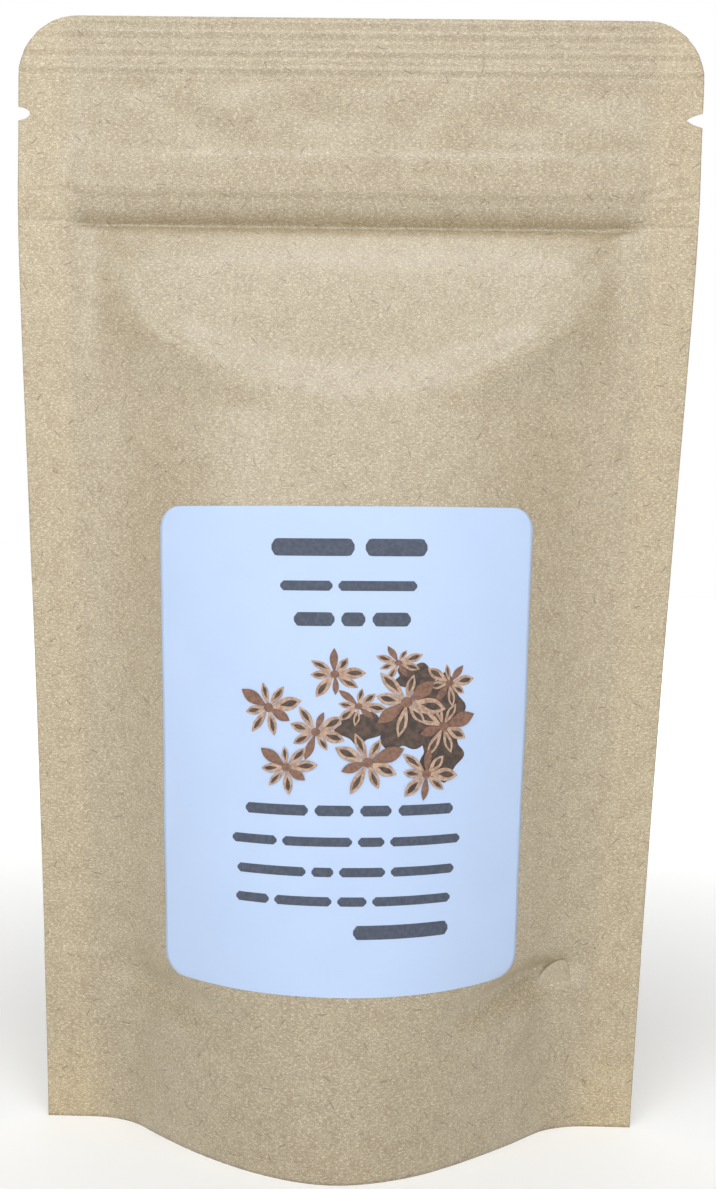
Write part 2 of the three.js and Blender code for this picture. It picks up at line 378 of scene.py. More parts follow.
@dataclass(frozen=True)
class Relief:
    """What stands out of a panel's own form: seal ribs, zip, crease, folds and unevenness.

    zip_profile is how far the paper stands out over the zip at each height. Each wave is a layer
    of unevenness: its depth, its size and what it adds to the seed. flat_wave lies everywhere, and
    waves only in the filled part, fading over wave_fade under the crease and beside the seals.
    """

    rib_tops: tuple[float, ...] = (241.6, 237.8, 234.0)
    rib_height: float = 0.2
    rib_half: float = 0.8
    groove_depth: float = 0.15
    groove_drop: float = 1.25
    rim_bead: tuple[float, float, float] = (0.12, 243.9, 0.7)
    zip_profile: Stops = (
        (201.0, -0.12), (202.0, 0.34), (203.0, 0.76), (204.0, 1.06), (205.0, 1.26),
        (206.0, 1.38), (206.5, 1.47), (207.1, 1.76), (207.8, 1.97), (208.3, 1.97),
        (209.6, 1.8), (210.5, 1.7), (211.5, 1.67), (212.5, 1.67), (213.3, 1.65),
        (214.3, 1.58), (215.2, 1.44), (216.7, 0.96), (217.6, 0.86), (219.5, 0.8),
        (238.0, 0.0),
    )  # fmt: skip
    zip_roundness: float = 0.35
    zip_end: float = 65.5
    zip_fade: float = 6.0
    past_zip_share: float = 0.12
    crease_reach: float = 1.5
    gusset_step: float = 0.34
    gusset_step_drop: float = 0.9
    gusset_step_start: tuple[float, float] = (52.0, 60.0)
    foot_flare: float = 1.1
    foot_half: float = 34.0
    foot_share: float = 0.75
    waves: tuple[tuple[float, float, float], ...] = (
        (0.42, 34.0, 0.0),
        (0.13, 13.0, 5.0),
        (0.035, 4.5, 9.0),
    )
    wave_fade: tuple[float, float] = (14.0, 8.0)
    flat_wave: tuple[float, float, float] = (0.05, 15.0, 13.0)
    seed: float = 3.7
    wrinkles: tuple[Wrinkle, ...] = ()
    dents: tuple[Dent, ...] = ()

    def rise(self, flat: FlatPouch, u: Array, z: Array) -> Array:
        """Adds up everything that stands out of the panel.

        Args:
            flat: The flat pouch.
            u: Places across.
            z: Places up.

        Returns:
            The height at each place, in millimetres.
        """
        total = self._ribs(z) + self._zip(u, z) + self._crease(flat, u, z)
        total += self._gusset_corner(flat, u, z) + self._uneven(flat, u, z)
        total += self._foot(flat, u, z)
        for feature in (*self.wrinkles, *self.dents):
            total += feature.rise(u, z)
        return total

    def _ribs(self, z: Array) -> Array:
        """Gives the ribs and grooves of the top heat seal, and the bead along its rim.

        Args:
            z: Places up.

        Returns:
            Their height at each place.
        """
        bead, place, half = self.rim_bead
        total = bead * hump(z, place, half)
        for top in self.rib_tops:
            total += self.rib_height * hump(z, top, self.rib_half)
            total -= self.groove_depth * hump(z, top - self.groove_drop, self.rib_half)
        return total

    def _along_zip(self, u: Array) -> Array:
        """Returns 1 along the zip and what is left of its relief past its ends."""
        fade = 1 - eased(np.abs(u), self.zip_end - self.zip_fade, self.zip_end)
        return between(self.past_zip_share, 1.0, fade)

    def _zip(self, u: Array, z: Array) -> Array:
        """Returns the band that the zip pushes out of the panel."""
        band = rounded_line(z, self.zip_profile, self.zip_roundness) * self._along_zip(u)
        return np.where(z < self.zip_profile[0][0], 0.0, band)

    def _crease(self, flat: FlatPouch, u: Array, z: Array) -> Array:
        """Gives the sharp valley where the filled part begins.

        Args:
            flat: The flat pouch.
            u: Places across.
            z: Places up.

        Returns:
            Its height at each place, below zero.
        """
        below = np.exp(-np.maximum(flat.crease - z, 0) / self.crease_reach)
        valley = self.zip_profile[0][1] * self._along_zip(u) * below
        return np.where(z < flat.crease, valley, 0.0)

    def _foot(self, flat: FlatPouch, u: Array, z: Array) -> Array:
        """Returns how far the opened gusset pushes the bottom edge out in the middle."""
        low = 1 - eased(z, 0.0, self.foot_share * flat.gusset)
        return self.foot_flare * low * hump(u, 0.0, self.foot_half)

    def _gusset_corner(self, flat: FlatPouch, u: Array, z: Array) -> Array:
        """Gives the step beside each side seal where the gusset's fold starts inside.

        Args:
            flat: The flat pouch.
            u: Places across.
            z: Places up.

        Returns:
            Its height at each place.
        """
        near_side = eased(np.abs(u), *self.gusset_step_start)
        under = 1 - eased(z, flat.gusset, flat.gusset + self.gusset_step_drop)
        return self.gusset_step * under * near_side

    def _uneven(self, flat: FlatPouch, u: Array, z: Array) -> Array:
        """Gives the soft unevenness of paper round dry pieces.

        Args:
            flat: The flat pouch.
            u: Places across.
            z: Places up.

        Returns:
            Its height at each place.
        """
        under, beside = self.wave_fade
        body = 1 - eased(z, flat.crease - under, flat.crease)
        body *= 1 - eased(np.abs(u), flat.inner_half - beside, flat.inner_half)
        total = np.zeros_like(z)
        for share, waves in ((body, self.waves), (1.0, (self.flat_wave,))):
            for depth, size, shift in waves:
                total += depth * waviness(u, z, size, self.seed + shift) * share
        return total


class PanelSurface:
    """One panel's surface, walked along at the paper's flat length, so that it never stretches."""

    PLACES = 301
    CLOSE_ROWS = 60
    CLOSE_REACH = 8.0
    NORMAL_REACH = 0.5
    LEVEL_BELOW = 4.0

    def __init__(
        self,
        flat: FlatPouch,
        side: Side,
        bulge: Bulge,
        relief: Relief,
        seal_plane: float,
        shared_width: "PanelSurface | None" = None,
        shoulder: Shoulder = Shoulder(),
        sway: Sway = Sway(),
    ) -> None:
        """Works out the cross-sections.

        Args:
            flat: The flat pouch.
            side: Which way the panel faces.
            bulge: How it bulges.
            relief: What stands out of it.
            seal_plane: Where both panels meet along Y, in millimetres.
            shared_width: The panel whose width this one takes, if not its own.
            shoulder: How it falls to the crease.
            sway: How it leans together with the other panel.
        """
        self.flat, self.side, self.bulge, self.relief = flat, side, bulge, relief
        self.shoulder, self.sway = shoulder, sway
        self.seal_plane = seal_plane
        near_crease = self.CLOSE_REACH * (1 - np.linspace(0, 1, self.CLOSE_ROWS)) ** 2
        low = np.arange(0.0, flat.crease - self.CLOSE_REACH, 1.0)
        self.heights = np.concatenate([low, flat.crease - near_crease])
        self.across, self.depths, self.widths = self._walk()
        if shared_width is not None:
            self.widths = shared_width.widths

    def _walk(self) -> tuple[Array, Array, Array]:
        """Walks along the paper at each height.

        Returns:
            The share of the width and the depth at each place, and the whole width.
        """
        places = np.linspace(-self.flat.half, self.flat.half, self.PLACES)
        step = places[1] - places[0]
        middles = (places[1:] + places[:-1])[None, :] / 2
        filled = np.clip(self.heights / self.flat.crease, 0, 1)[:, None]
        angles = self.bulge.angles(self.flat, middles, filled)
        start = np.zeros((len(self.heights), 1))
        xs = np.hstack([start, np.cumsum(np.cos(angles), axis=1) * step])
        ys = np.hstack([start, np.cumsum(np.sin(angles), axis=1) * step])
        share = np.linspace(0, 1, self.PLACES)[None, :]
        return xs / xs[:, -1:] - 0.5, share * ys[:, -1:] - ys, xs[:, -1]

    def _sample(self, table: Array, u: Array, z: Array) -> Array:
        """Reads a table at flat places, smoothly between its own.

        Args:
            table: One row for each height, one column for each place across.
            u: Places across.
            z: Places up.

        Returns:
            Its value at each place.
        """
        row = np.interp(z, self.heights, np.arange(len(self.heights)))
        column = np.clip((u + self.flat.half) / self.flat.width, 0, 1) * (self.PLACES - 1)
        r = np.minimum(row.astype(int), len(self.heights) - 2)
        c = np.minimum(column.astype(int), self.PLACES - 2)
        fr, fc = row - r, column - c
        low = table[r, c] * (1 - fc) + table[r, c + 1] * fc
        high = table[r + 1, c] * (1 - fc) + table[r + 1, c + 1] * fc
        return low * (1 - fr) + high * fr

    def plain(self, u: Array, z: Array) -> Array:
        """Gives points on the panel without its relief.

        Args:
            u: Places across.
            z: Places up.

        Returns:
            One row of x, y and z for each place, in millimetres.
        """
        flat = self.flat
        x = self._sample(self.across, u, z) * np.interp(z, self.heights, self.widths)
        depth = self.shoulder.shape(flat, self._sample(self.depths, u, z), u, z)
        y = self.side.value * (depth + flat.laminate) + self.sway.shift(flat, u, z)
        height = z + flat.out_of_square * (u / flat.width) * (z / flat.height)
        return np.stack([x, y + self.seal_plane, height], axis=1)

    def normals(self, u: Array, z: Array) -> Array:
        """Gives the directions straight out of the panel, level along its bottom edge.

        Args:
            u: Places across.
            z: Places up.

        Returns:
            One unit row for each place.
        """
        reach, crease = self.NORMAL_REACH, self.flat.crease
        across = self.plain(u + reach, z) - self.plain(u - reach, z)
        high = np.where(z < crease, np.minimum(z + reach, crease), z + reach)
        low = np.where(z < crease, np.maximum(z - reach, 0.0), np.maximum(z - reach, crease))
        up = self.plain(u, high) - self.plain(u, low)
        out = np.cross(across, up) * -self.side.value
        out[:, 2] *= eased(z, 0.0, self.LEVEL_BELOW)
        return out / np.linalg.norm(out, axis=1, keepdims=True)

    def points(self, u: Array, z: Array, proud: float | Array = 0.0) -> Array:
        """Gives points on the panel with its relief.

        Args:
            u: Places across.
            z: Places up.
            proud: How far above the paper they lie, in millimetres.

        Returns:
            One row of x, y and z for each place, in millimetres.
        """
        rise = self.relief.rise(self.flat, u, z) + proud
        return self.plain(u, z) + self.normals(u, z) * rise[:, None]

    @property
    def depth(self) -> float:
        """How far the panel stands from the seal plane at its deepest."""
        return float(self.depths.max())


# ---------------------------------------------------------------------------------------------
# Mesh tools
# ---------------------------------------------------------------------------------------------

Mapping = Callable[[Array, Array], tuple[Array, Array]]


def add_sheet(
    bm: bmesh.types.BMesh, across: int, up: int, mapping: Mapping, material: int = 0
) -> list[bmesh.types.BMVert]:
    """Adds a grid and moves its points to where a function puts them.

    Args:
        bm: The mesh to add to.
        across: Number of cells across.
        up: Number of cells up.
        mapping: Takes places from 0 to 1 across and up, and returns points in millimetres and
            their flat places in millimetres.
        material: Material slot of the new faces.

    Returns:
        The new points.
    """
    uv = bm.loops.layers.uv.get(FLAT_MAP) or bm.loops.layers.uv.new(FLAT_MAP)
    made = bmesh.ops.create_grid(bm, x_segments=across, y_segments=up, size=1.0)
    verts = made["verts"]
    grid = np.array([v.co for v in verts])[:, :2] / 2 + 0.5
    points, flat = mapping(grid[:, 0], grid[:, 1])
    place = {}
    for vert, point, spot in zip(verts, points * MM, flat * MM):
        vert.co = point
        place[vert] = spot
    for face in {face for vert in verts for face in vert.link_faces}:
        face.smooth = True
        face.material_index = material
        for loop in face.loops:
            loop[uv].uv = place[loop.vert]
    return verts


def outline_edges(verts: Sequence[bmesh.types.BMVert]) -> list[bmesh.types.BMEdge]:
    """Finds a sheet's outline.

    Args:
        verts: The sheet's points.

    Returns:
        Its open edges.
    """
    return [e for e in {e for vert in verts for e in vert.link_edges} if e.is_boundary]


def join_outlines(
    bm: bmesh.types.BMesh, edges: list[bmesh.types.BMEdge], material: int = 0
) -> None:
    """Joins two sheets by a flat-shaded rim.

    Args:
        bm: The mesh that holds them.
        edges: The edges of both outlines.
        material: Material slot of the rim.
    """
    for face in bmesh.ops.bridge_loops(bm, edges=edges)["faces"]:
        face.smooth = False
        face.material_index = material


def finish_mesh(
    bm: bmesh.types.BMesh, name: str, materials: Sequence[bpy.types.Material]
) -> bpy.types.Object:
    """Turns a bmesh into an object at the origin.

    Args:
        bm: The finished mesh, which is freed.
        name: The piece's name.
        materials: Its materials, in slot order.

    Returns:
        The new object.
    """
    mesh = bpy.data.meshes.new(name)
    bm.to_mesh(mesh)
    bm.free()
    for material in materials:
        mesh.materials.append(material)
    piece = bpy.data.objects.new(name, mesh)
    bpy.context.scene.collection.objects.link(piece)
    return piece


def report(piece: bpy.types.Object) -> None:
    """Logs a piece's triangles and size.

    Args:
        piece: The finished piece.
    """
    triangles = sum(len(p.vertices) - 2 for p in piece.data.polygons)
    size = " x ".join(f"{side / MM:.1f}" for side in piece.dimensions)
    LOG.info("%-16s %7d triangles, %s mm", piece.name, triangles, size)


# ---------------------------------------------------------------------------------------------
# Finishes
# ---------------------------------------------------------------------------------------------


Tree = bpy.types.NodeTree
Source = bpy.types.Node | bpy.types.NodeSocket
MATH, RANGE, MIX = "ShaderNodeMath", "ShaderNodeMapRange", "ShaderNodeMix"


def add_node(tree: Tree, kind: str, inputs: dict, **settings: str | bool) -> bpy.types.Node:
    """Adds one node to a material.

    Args:
        tree: The material's node tree.
        kind: The node's type.
        inputs: Input names or numbers, each with a constant, with the output to link, or with a
            node whose first output is linked.
        settings: The node's own settings.

    Returns:
        The new node.
    """
    node = tree.nodes.new(kind)
    for name, value in settings.items():
        setattr(node, name, value)
    for name, value in inputs.items():
        if isinstance(value, bpy.types.Node):
            value = value.outputs[0]
        if isinstance(value, bpy.types.NodeSocket):
            tree.links.new(value, node.inputs[name])
        else:
            node.inputs[name].default_value = value
    return node


def new_material(name: str) -> tuple[bpy.types.Material, Tree]:
    """Makes an empty node material.

    Args:
        name: Its name.

    Returns:
        The material and its node tree.
    """
    material = bpy.data.materials.new(name)
    material.use_nodes = True
    material.node_tree.nodes.clear()
    return material, material.node_tree


def close_material(tree: Tree, inputs: dict) -> None:
    """Adds the surface shader and the output.

    Args:
        tree: The material's node tree.
        inputs: The shader's inputs.
    """
    shader = add_node(tree, "ShaderNodeBsdfPrincipled", inputs)
    add_node(tree, "ShaderNodeOutputMaterial", {"Surface": shader.outputs["BSDF"]})


@dataclass(frozen=True)
class Fibres:
    """One layer of single paper fibres, which lie mostly across the roll's length.

    share is how many of the layer's cells, spacing apart, hold a fibre. curl is how far it bends,
    spread is how far it turns, and strength is how much it hides of what is under it. It fades
    between two shares of its width to each side and of its length to each end.
    """

    spacing: float
    length: float
    width: float
    share: float
    curl: float
    strength: float
    colour: str = "#5E4A2B"
    spread: float = 0.85
    scatter: float = 0.85
    side_fade: tuple[float, float] = (0.2, 0.6)
    end_fade: tuple[float, float] = (0.3, 0.5)

    def over(self, tree: Tree, flat: Source, ground: Source) -> Source:
        """Draws the fibres over a colour.

        Args:
            tree: The material's node tree.
            flat: Flat places in metres.
            ground: The colour under them.

        Returns:
            The colour with the fibres on it.
        """
        there = self._mask(tree, flat)
        share = add_node(tree, MATH, {0: there, 1: self.strength}, operation="MULTIPLY")
        inputs = {0: share, 6: ground, 7: linear(self.colour)}
        return add_node(tree, MIX, inputs, data_type="RGBA").outputs[2]

    def _mask(self, tree: Tree, flat: Source) -> Source:
        """Finds where the fibres are: each cell holds one short curved stroke at its own angle.

        Args:
            tree: The material's node tree.
            flat: Flat places in metres.

        Returns:
            A node that gives 1 on a fibre and 0 beside it.
        """
        cells = add_node(
            tree,
            "ShaderNodeTexVoronoi",
            {"Vector": flat, "Scale": 1 / (self.spacing * MM), "Randomness": self.scatter},
            voronoi_dimensions="2D",
        ).outputs
        chance = add_node(tree, "ShaderNodeSeparateXYZ", {"Vector": cells["Color"]}).outputs
        angle = add_node(tree, MATH, {0: chance["X"], 1: 0.5}, operation="SUBTRACT")
        angle = add_node(tree, MATH, {0: angle, 1: math.pi * self.spread}, operation="MULTIPLY")
        offset = add_node(
            tree, "ShaderNodeVectorMath", {0: flat, 1: cells["Position"]}, operation="SUBTRACT"
        )
        turned = add_node(
            tree,
            "ShaderNodeVectorRotate",
            {"Vector": offset, "Angle": angle},
            rotation_type="Z_AXIS",
        )
        along = add_node(tree, "ShaderNodeSeparateXYZ", {"Vector": turned}).outputs
        bend = add_node(tree, MATH, {0: chance["Y"], 1: 0.5}, operation="SUBTRACT")
        bend = add_node(tree, MATH, {0: bend, 1: self.curl / MM}, operation="MULTIPLY")
        square = add_node(tree, MATH, {0: along["X"], 1: along["X"]}, operation="MULTIPLY")
        sideways = add_node(
            tree, MATH, {0: square, 1: bend, 2: along["Y"]}, operation="MULTIPLY_ADD"
        )
        mask = add_node(tree, MATH, {0: chance["Z"], 1: self.share}, operation="LESS_THAN")
        for place, size, fade in (
            (sideways, self.width, self.side_fade),
            (along["X"], self.length, self.end_fade),
        ):
            away = add_node(tree, MATH, {0: place}, operation="ABSOLUTE")
            full, none = (share * size * MM for share in fade)
            ends = {"From Min": full, "From Max": none, "To Min": 1.0, "To Max": 0.0}
            near = add_node(tree, RANGE, {"Value": away, **ends})
            mask = add_node(tree, MATH, {0: mask, 1: near}, operation="MULTIPLY")
        return mask


@dataclass(frozen=True)
class KraftLaminate:
    """Unbleached kraft paper with a thin clear film.

    The paper gives a beige ground with cloudy formation, specks of bark and single brown fibres.
    The film gives it a faint satin sheen, which the fibres under it break into fine sparkles.
    Fibres are really about 0.04 mm wide. They are drawn 0.2 mm wide so that they show. The side
    seals and the gusset's bottom corners get painted light: their colour is made paler.
    """

    ground: str = "#A7997B"
    cloud: str = "#958464"
    pale: str = "#D8CCB3"
    dark: str = "#6A5835"
    cloud_ends: tuple[float, float] = (0.26, 0.76)
    speck_ends: tuple[float, float] = (0.5, 0.85)
    grain_ends: tuple[float, float] = (0.5, 0.85)
    roughness: tuple[float, float] = (0.37, 0.47)
    ior: float = 1.5
    film_gloss: float = 1.0
    film_roughness: float = 0.36
    tooth: float = 0.03
    film_tooth: float = 0.08
    # Painted light: how much paler the side seals and the gusset's corners are made, in place of
    # more light on them.
    seal_painted_light: tuple[float, float, float] = (1.1, 1.09, 1.05)
    seal_edge: tuple[float, float] = (63.0, 66.5)
    corner_painted_light: float = 1.13
    corner_edge: tuple[float, float] = (60.0, 63.0)
    corner_top: tuple[float, float] = (22.0, 8.0)
    cloud_size: float = 4.5
    speck_size: float = 0.34
    grain_size: float = 0.24
    grain_stretch: float = 2.4
    fibres: tuple[Fibres, ...] = (
        Fibres(1.5, 1.0, 0.14, share=0.7, curl=1.0, strength=0.5, colour="#D8CCB3"),
        Fibres(6.6, 2.2, 0.2, share=0.4, curl=0.35, strength=1.0),
        Fibres(3.3, 1.5, 0.16, share=0.5, curl=0.6, strength=0.75),
        Fibres(1.7, 1.1, 0.13, share=0.75, curl=0.9, strength=0.55),
        Fibres(1.0, 0.7, 0.11, share=0.8, curl=1.2, strength=0.45),
        Fibres(17.0, 0.55, 0.5, share=0.35, curl=0.0, strength=0.8),
    )

    def make(self) -> bpy.types.Material:
        """Makes the material.

        Returns:
            The finished material.
        """
        material, tree = new_material("kraft_paper_laminate")
        flat = add_node(tree, "ShaderNodeUVMap", {}, uv_map=FLAT_MAP).outputs["UV"]
        across = add_node(
            tree,
            "ShaderNodeVectorMath",
            {0: flat, 1: (1.0 / self.grain_stretch, 1.0, 1.0)},
            operation="MULTIPLY",
        )
        # Cloudy formation, pale specks that lie across the roll, and dark grain.
        cloud, speck, grain = (
            add_node(
                tree,
                "ShaderNodeTexNoise",
                {"Vector": place, "Scale": 1 / (size * MM), "Detail": detail, "Roughness": rough},
                noise_dimensions="2D",
            )
            for place, size, detail, rough in (
                (flat, self.cloud_size, 4.0, 0.7),
                (across, self.speck_size, 2.0, 0.7),
                (flat, self.grain_size, 1.0, 0.5),
            )
        )
        colour = linear(self.ground)
        for patches, ends, other in (
            (cloud, self.cloud_ends, self.cloud),
            (speck, self.speck_ends, self.pale),
            (grain, self.grain_ends, self.dark),
        ):
            inputs = {"Value": patches, "From Min": ends[0], "From Max": ends[1]}
            inputs = {0: add_node(tree, RANGE, inputs), 6: colour, 7: linear(other)}
            colour = add_node(tree, MIX, inputs, data_type="RGBA").outputs[2]
        for layer in self.fibres:
            colour = layer.over(tree, flat, colour)
        # Painted light: the side seals and the gusset's bottom corners are made paler, in place of
        # light that falls more on them.
        painted_seal_light = add_node(
            tree,
            MIX,
            {0: self._seal_light_mask(tree, flat), 6: colour, 7: (*self.seal_painted_light, 1.0)},
            data_type="RGBA",
            blend_type="MULTIPLY",
            clamp_factor=False,
        )
        paper, film = (
            add_node(
                tree, "ShaderNodeBump", {"Strength": 1.0, "Distance": height * MM, "Height": bumps}
            )
            for height, bumps in ((self.tooth, speck), (self.film_tooth, grain))
        )
        smooth, coarse = self.roughness
        ends = {"From Min": 0.35, "From Max": 0.65, "To Min": smooth, "To Max": coarse}
        matt = add_node(tree, RANGE, {"Value": speck, **ends})
        close_material(
            tree,
            {
                "Base Color": painted_seal_light.outputs[2],
                "Roughness": matt,
                "IOR": self.ior,
                "Specular IOR Level": 1.0,
                "Coat Weight": self.film_gloss,
                "Coat Roughness": self.film_roughness,
                "Coat Normal": film,
                "Normal": paper,
            },
        )
        return material

    def _seal_light_mask(self, tree: Tree, flat: Source) -> Source:
        """Finds where painted light makes the side seals paler, in place of more light falling on
        them.

        The gusset's corners, where four layers lie together, get more of this painted light and go
        a little past 1.

        Args:
            tree: The material's node tree.
            flat: Flat places in metres.

        Returns:
            A node that gives 1 on the side seals and 0 between them.
        """
        places = add_node(tree, "ShaderNodeSeparateXYZ", {"Vector": flat}).outputs
        away = add_node(tree, MATH, {0: places["X"]}, operation="ABSOLUTE")
        side, corner, low = (
            add_node(tree, RANGE, {"Value": place, "From Min": start * MM, "From Max": end * MM})
            for place, (start, end) in (
                (away, self.seal_edge),
                (away, self.corner_edge),
                (places["Y"], self.corner_top),
            )
        )
        # Painted light: the corners get more of the paler colour than the rest of the seals.
        more = add_node(tree, MATH, {0: corner, 1: low}, operation="MULTIPLY")
        inputs = {0: more, 1: self.corner_painted_light, 2: side}
        return add_node(tree, MATH, inputs, operation="MULTIPLY_ADD")


@dataclass(frozen=True)
class CutEdge:
    """The trimmed edge of the laminate: the paper's pale core and the film, with no print."""

    colour: str = "#D9CDB2"
    core: str = "#BBAA88"
    grain_scale: float = 900.0
    roughness: float = 0.7

    def make(self) -> bpy.types.Material:
        """Makes the material.

        Returns:
            The finished material.
        """
        material, tree = new_material("kraft_cut_edge")
        place = add_node(tree, "ShaderNodeTexCoord", {}).outputs["Object"]
        grain = add_node(tree, "ShaderNodeTexNoise", {"Vector": place, "Scale": self.grain_scale})
        inputs = {0: grain, 6: linear(self.core), 7: linear(self.colour)}
        colour = add_node(tree, MIX, inputs, data_type="RGBA").outputs[2]
        close_material(tree, {"Base Color": colour, "Roughness": self.roughness, "IOR": 1.5})
        return material


@dataclass(frozen=True)
class LabelStock:
    """Bright white label paper, uncoated, whose whitener makes it look a little blue.

    Its calendered surface gives a matt finish with a fine tooth.
    """

    colour: str = "#B7CAE8"
    shade: str = "#AFC4E3"
    roughness: float = 0.55
    tooth: float = 0.35
    tooth_height: float = 0.02
    cloud_size: float = 14.0

    def make(self) -> bpy.types.Material:
        """Makes the material.

        Returns:
            The finished material.
        """
        material, tree = new_material("white_label_stock")
        place = add_node(tree, "ShaderNodeTexCoord", {}).outputs["Object"]
        tooth, cloud = (
            add_node(
                tree,
                "ShaderNodeTexNoise",
                {"Vector": place, "Scale": 1 / (size * MM), "Detail": detail},
            )
            for size, detail in ((self.tooth, 2.0), (self.cloud_size, 3.0))
        )
        inputs = {0: cloud, 6: linear(self.colour), 7: linear(self.shade)}
        colour = add_node(tree, MIX, inputs, data_type="RGBA").outputs[2]
        inputs = {"Strength": 0.35, "Distance": self.tooth_height * MM, "Height": tooth}
        bump = add_node(tree, "ShaderNodeBump", inputs)
        close_material(
            tree,
            {"Base Color": colour, "Roughness": self.roughness, "IOR": 1.48, "Normal": bump},
        )
        return material


@dataclass(frozen=True)
class PrintInk:
    """Office printer ink on paper: matt, soaked in, and a little uneven where it covers."""

    name: str
    colour: str
    uneven: str
    size: float = 0.9
    roughness: float = 0.6

    def make(self) -> bpy.types.Material:
        """Makes the material.

        Returns:
            The finished material.
        """
        material, tree = new_material(self.name)
        place = add_node(tree, "ShaderNodeTexCoord", {}).outputs["Object"]
        inputs = {"Vector": place, "Scale": 1 / (self.size * MM), "Detail": 2.0}
        patches = add_node(tree, "ShaderNodeTexNoise", inputs)
        share = add_node(tree, RANGE, {"Value": patches, "From Min": 0.38, "From Max": 0.66})
        inputs = {0: share, 6: linear(self.colour), 7: linear(self.uneven)}
        colour = add_node(tree, MIX, inputs, data_type="RGBA").outputs[2]
        close_material(tree, {"Base Color": colour, "Roughness": self.roughness, "IOR": 1.48})
        return material


# ---------------------------------------------------------------------------------------------
# Pouch
# ---------------------------------------------------------------------------------------------


@dataclass(frozen=True)
class TearNotch:
    """A notch punched into one side edge, for tearing the pouch open."""

    depth: float
    half_gap: float
    roundness: float
    bluntness: float

    def cut(self, away: Array) -> Array:
        """Gives the notch's depth.

        Args:
            away: Heights measured from its middle.

        Returns:
            How deep it is at each.
        """
        share = np.clip(np.abs(away) / self.half_gap, 0, 1)
        return self.depth * (1 - share**self.roundness) ** self.bluntness


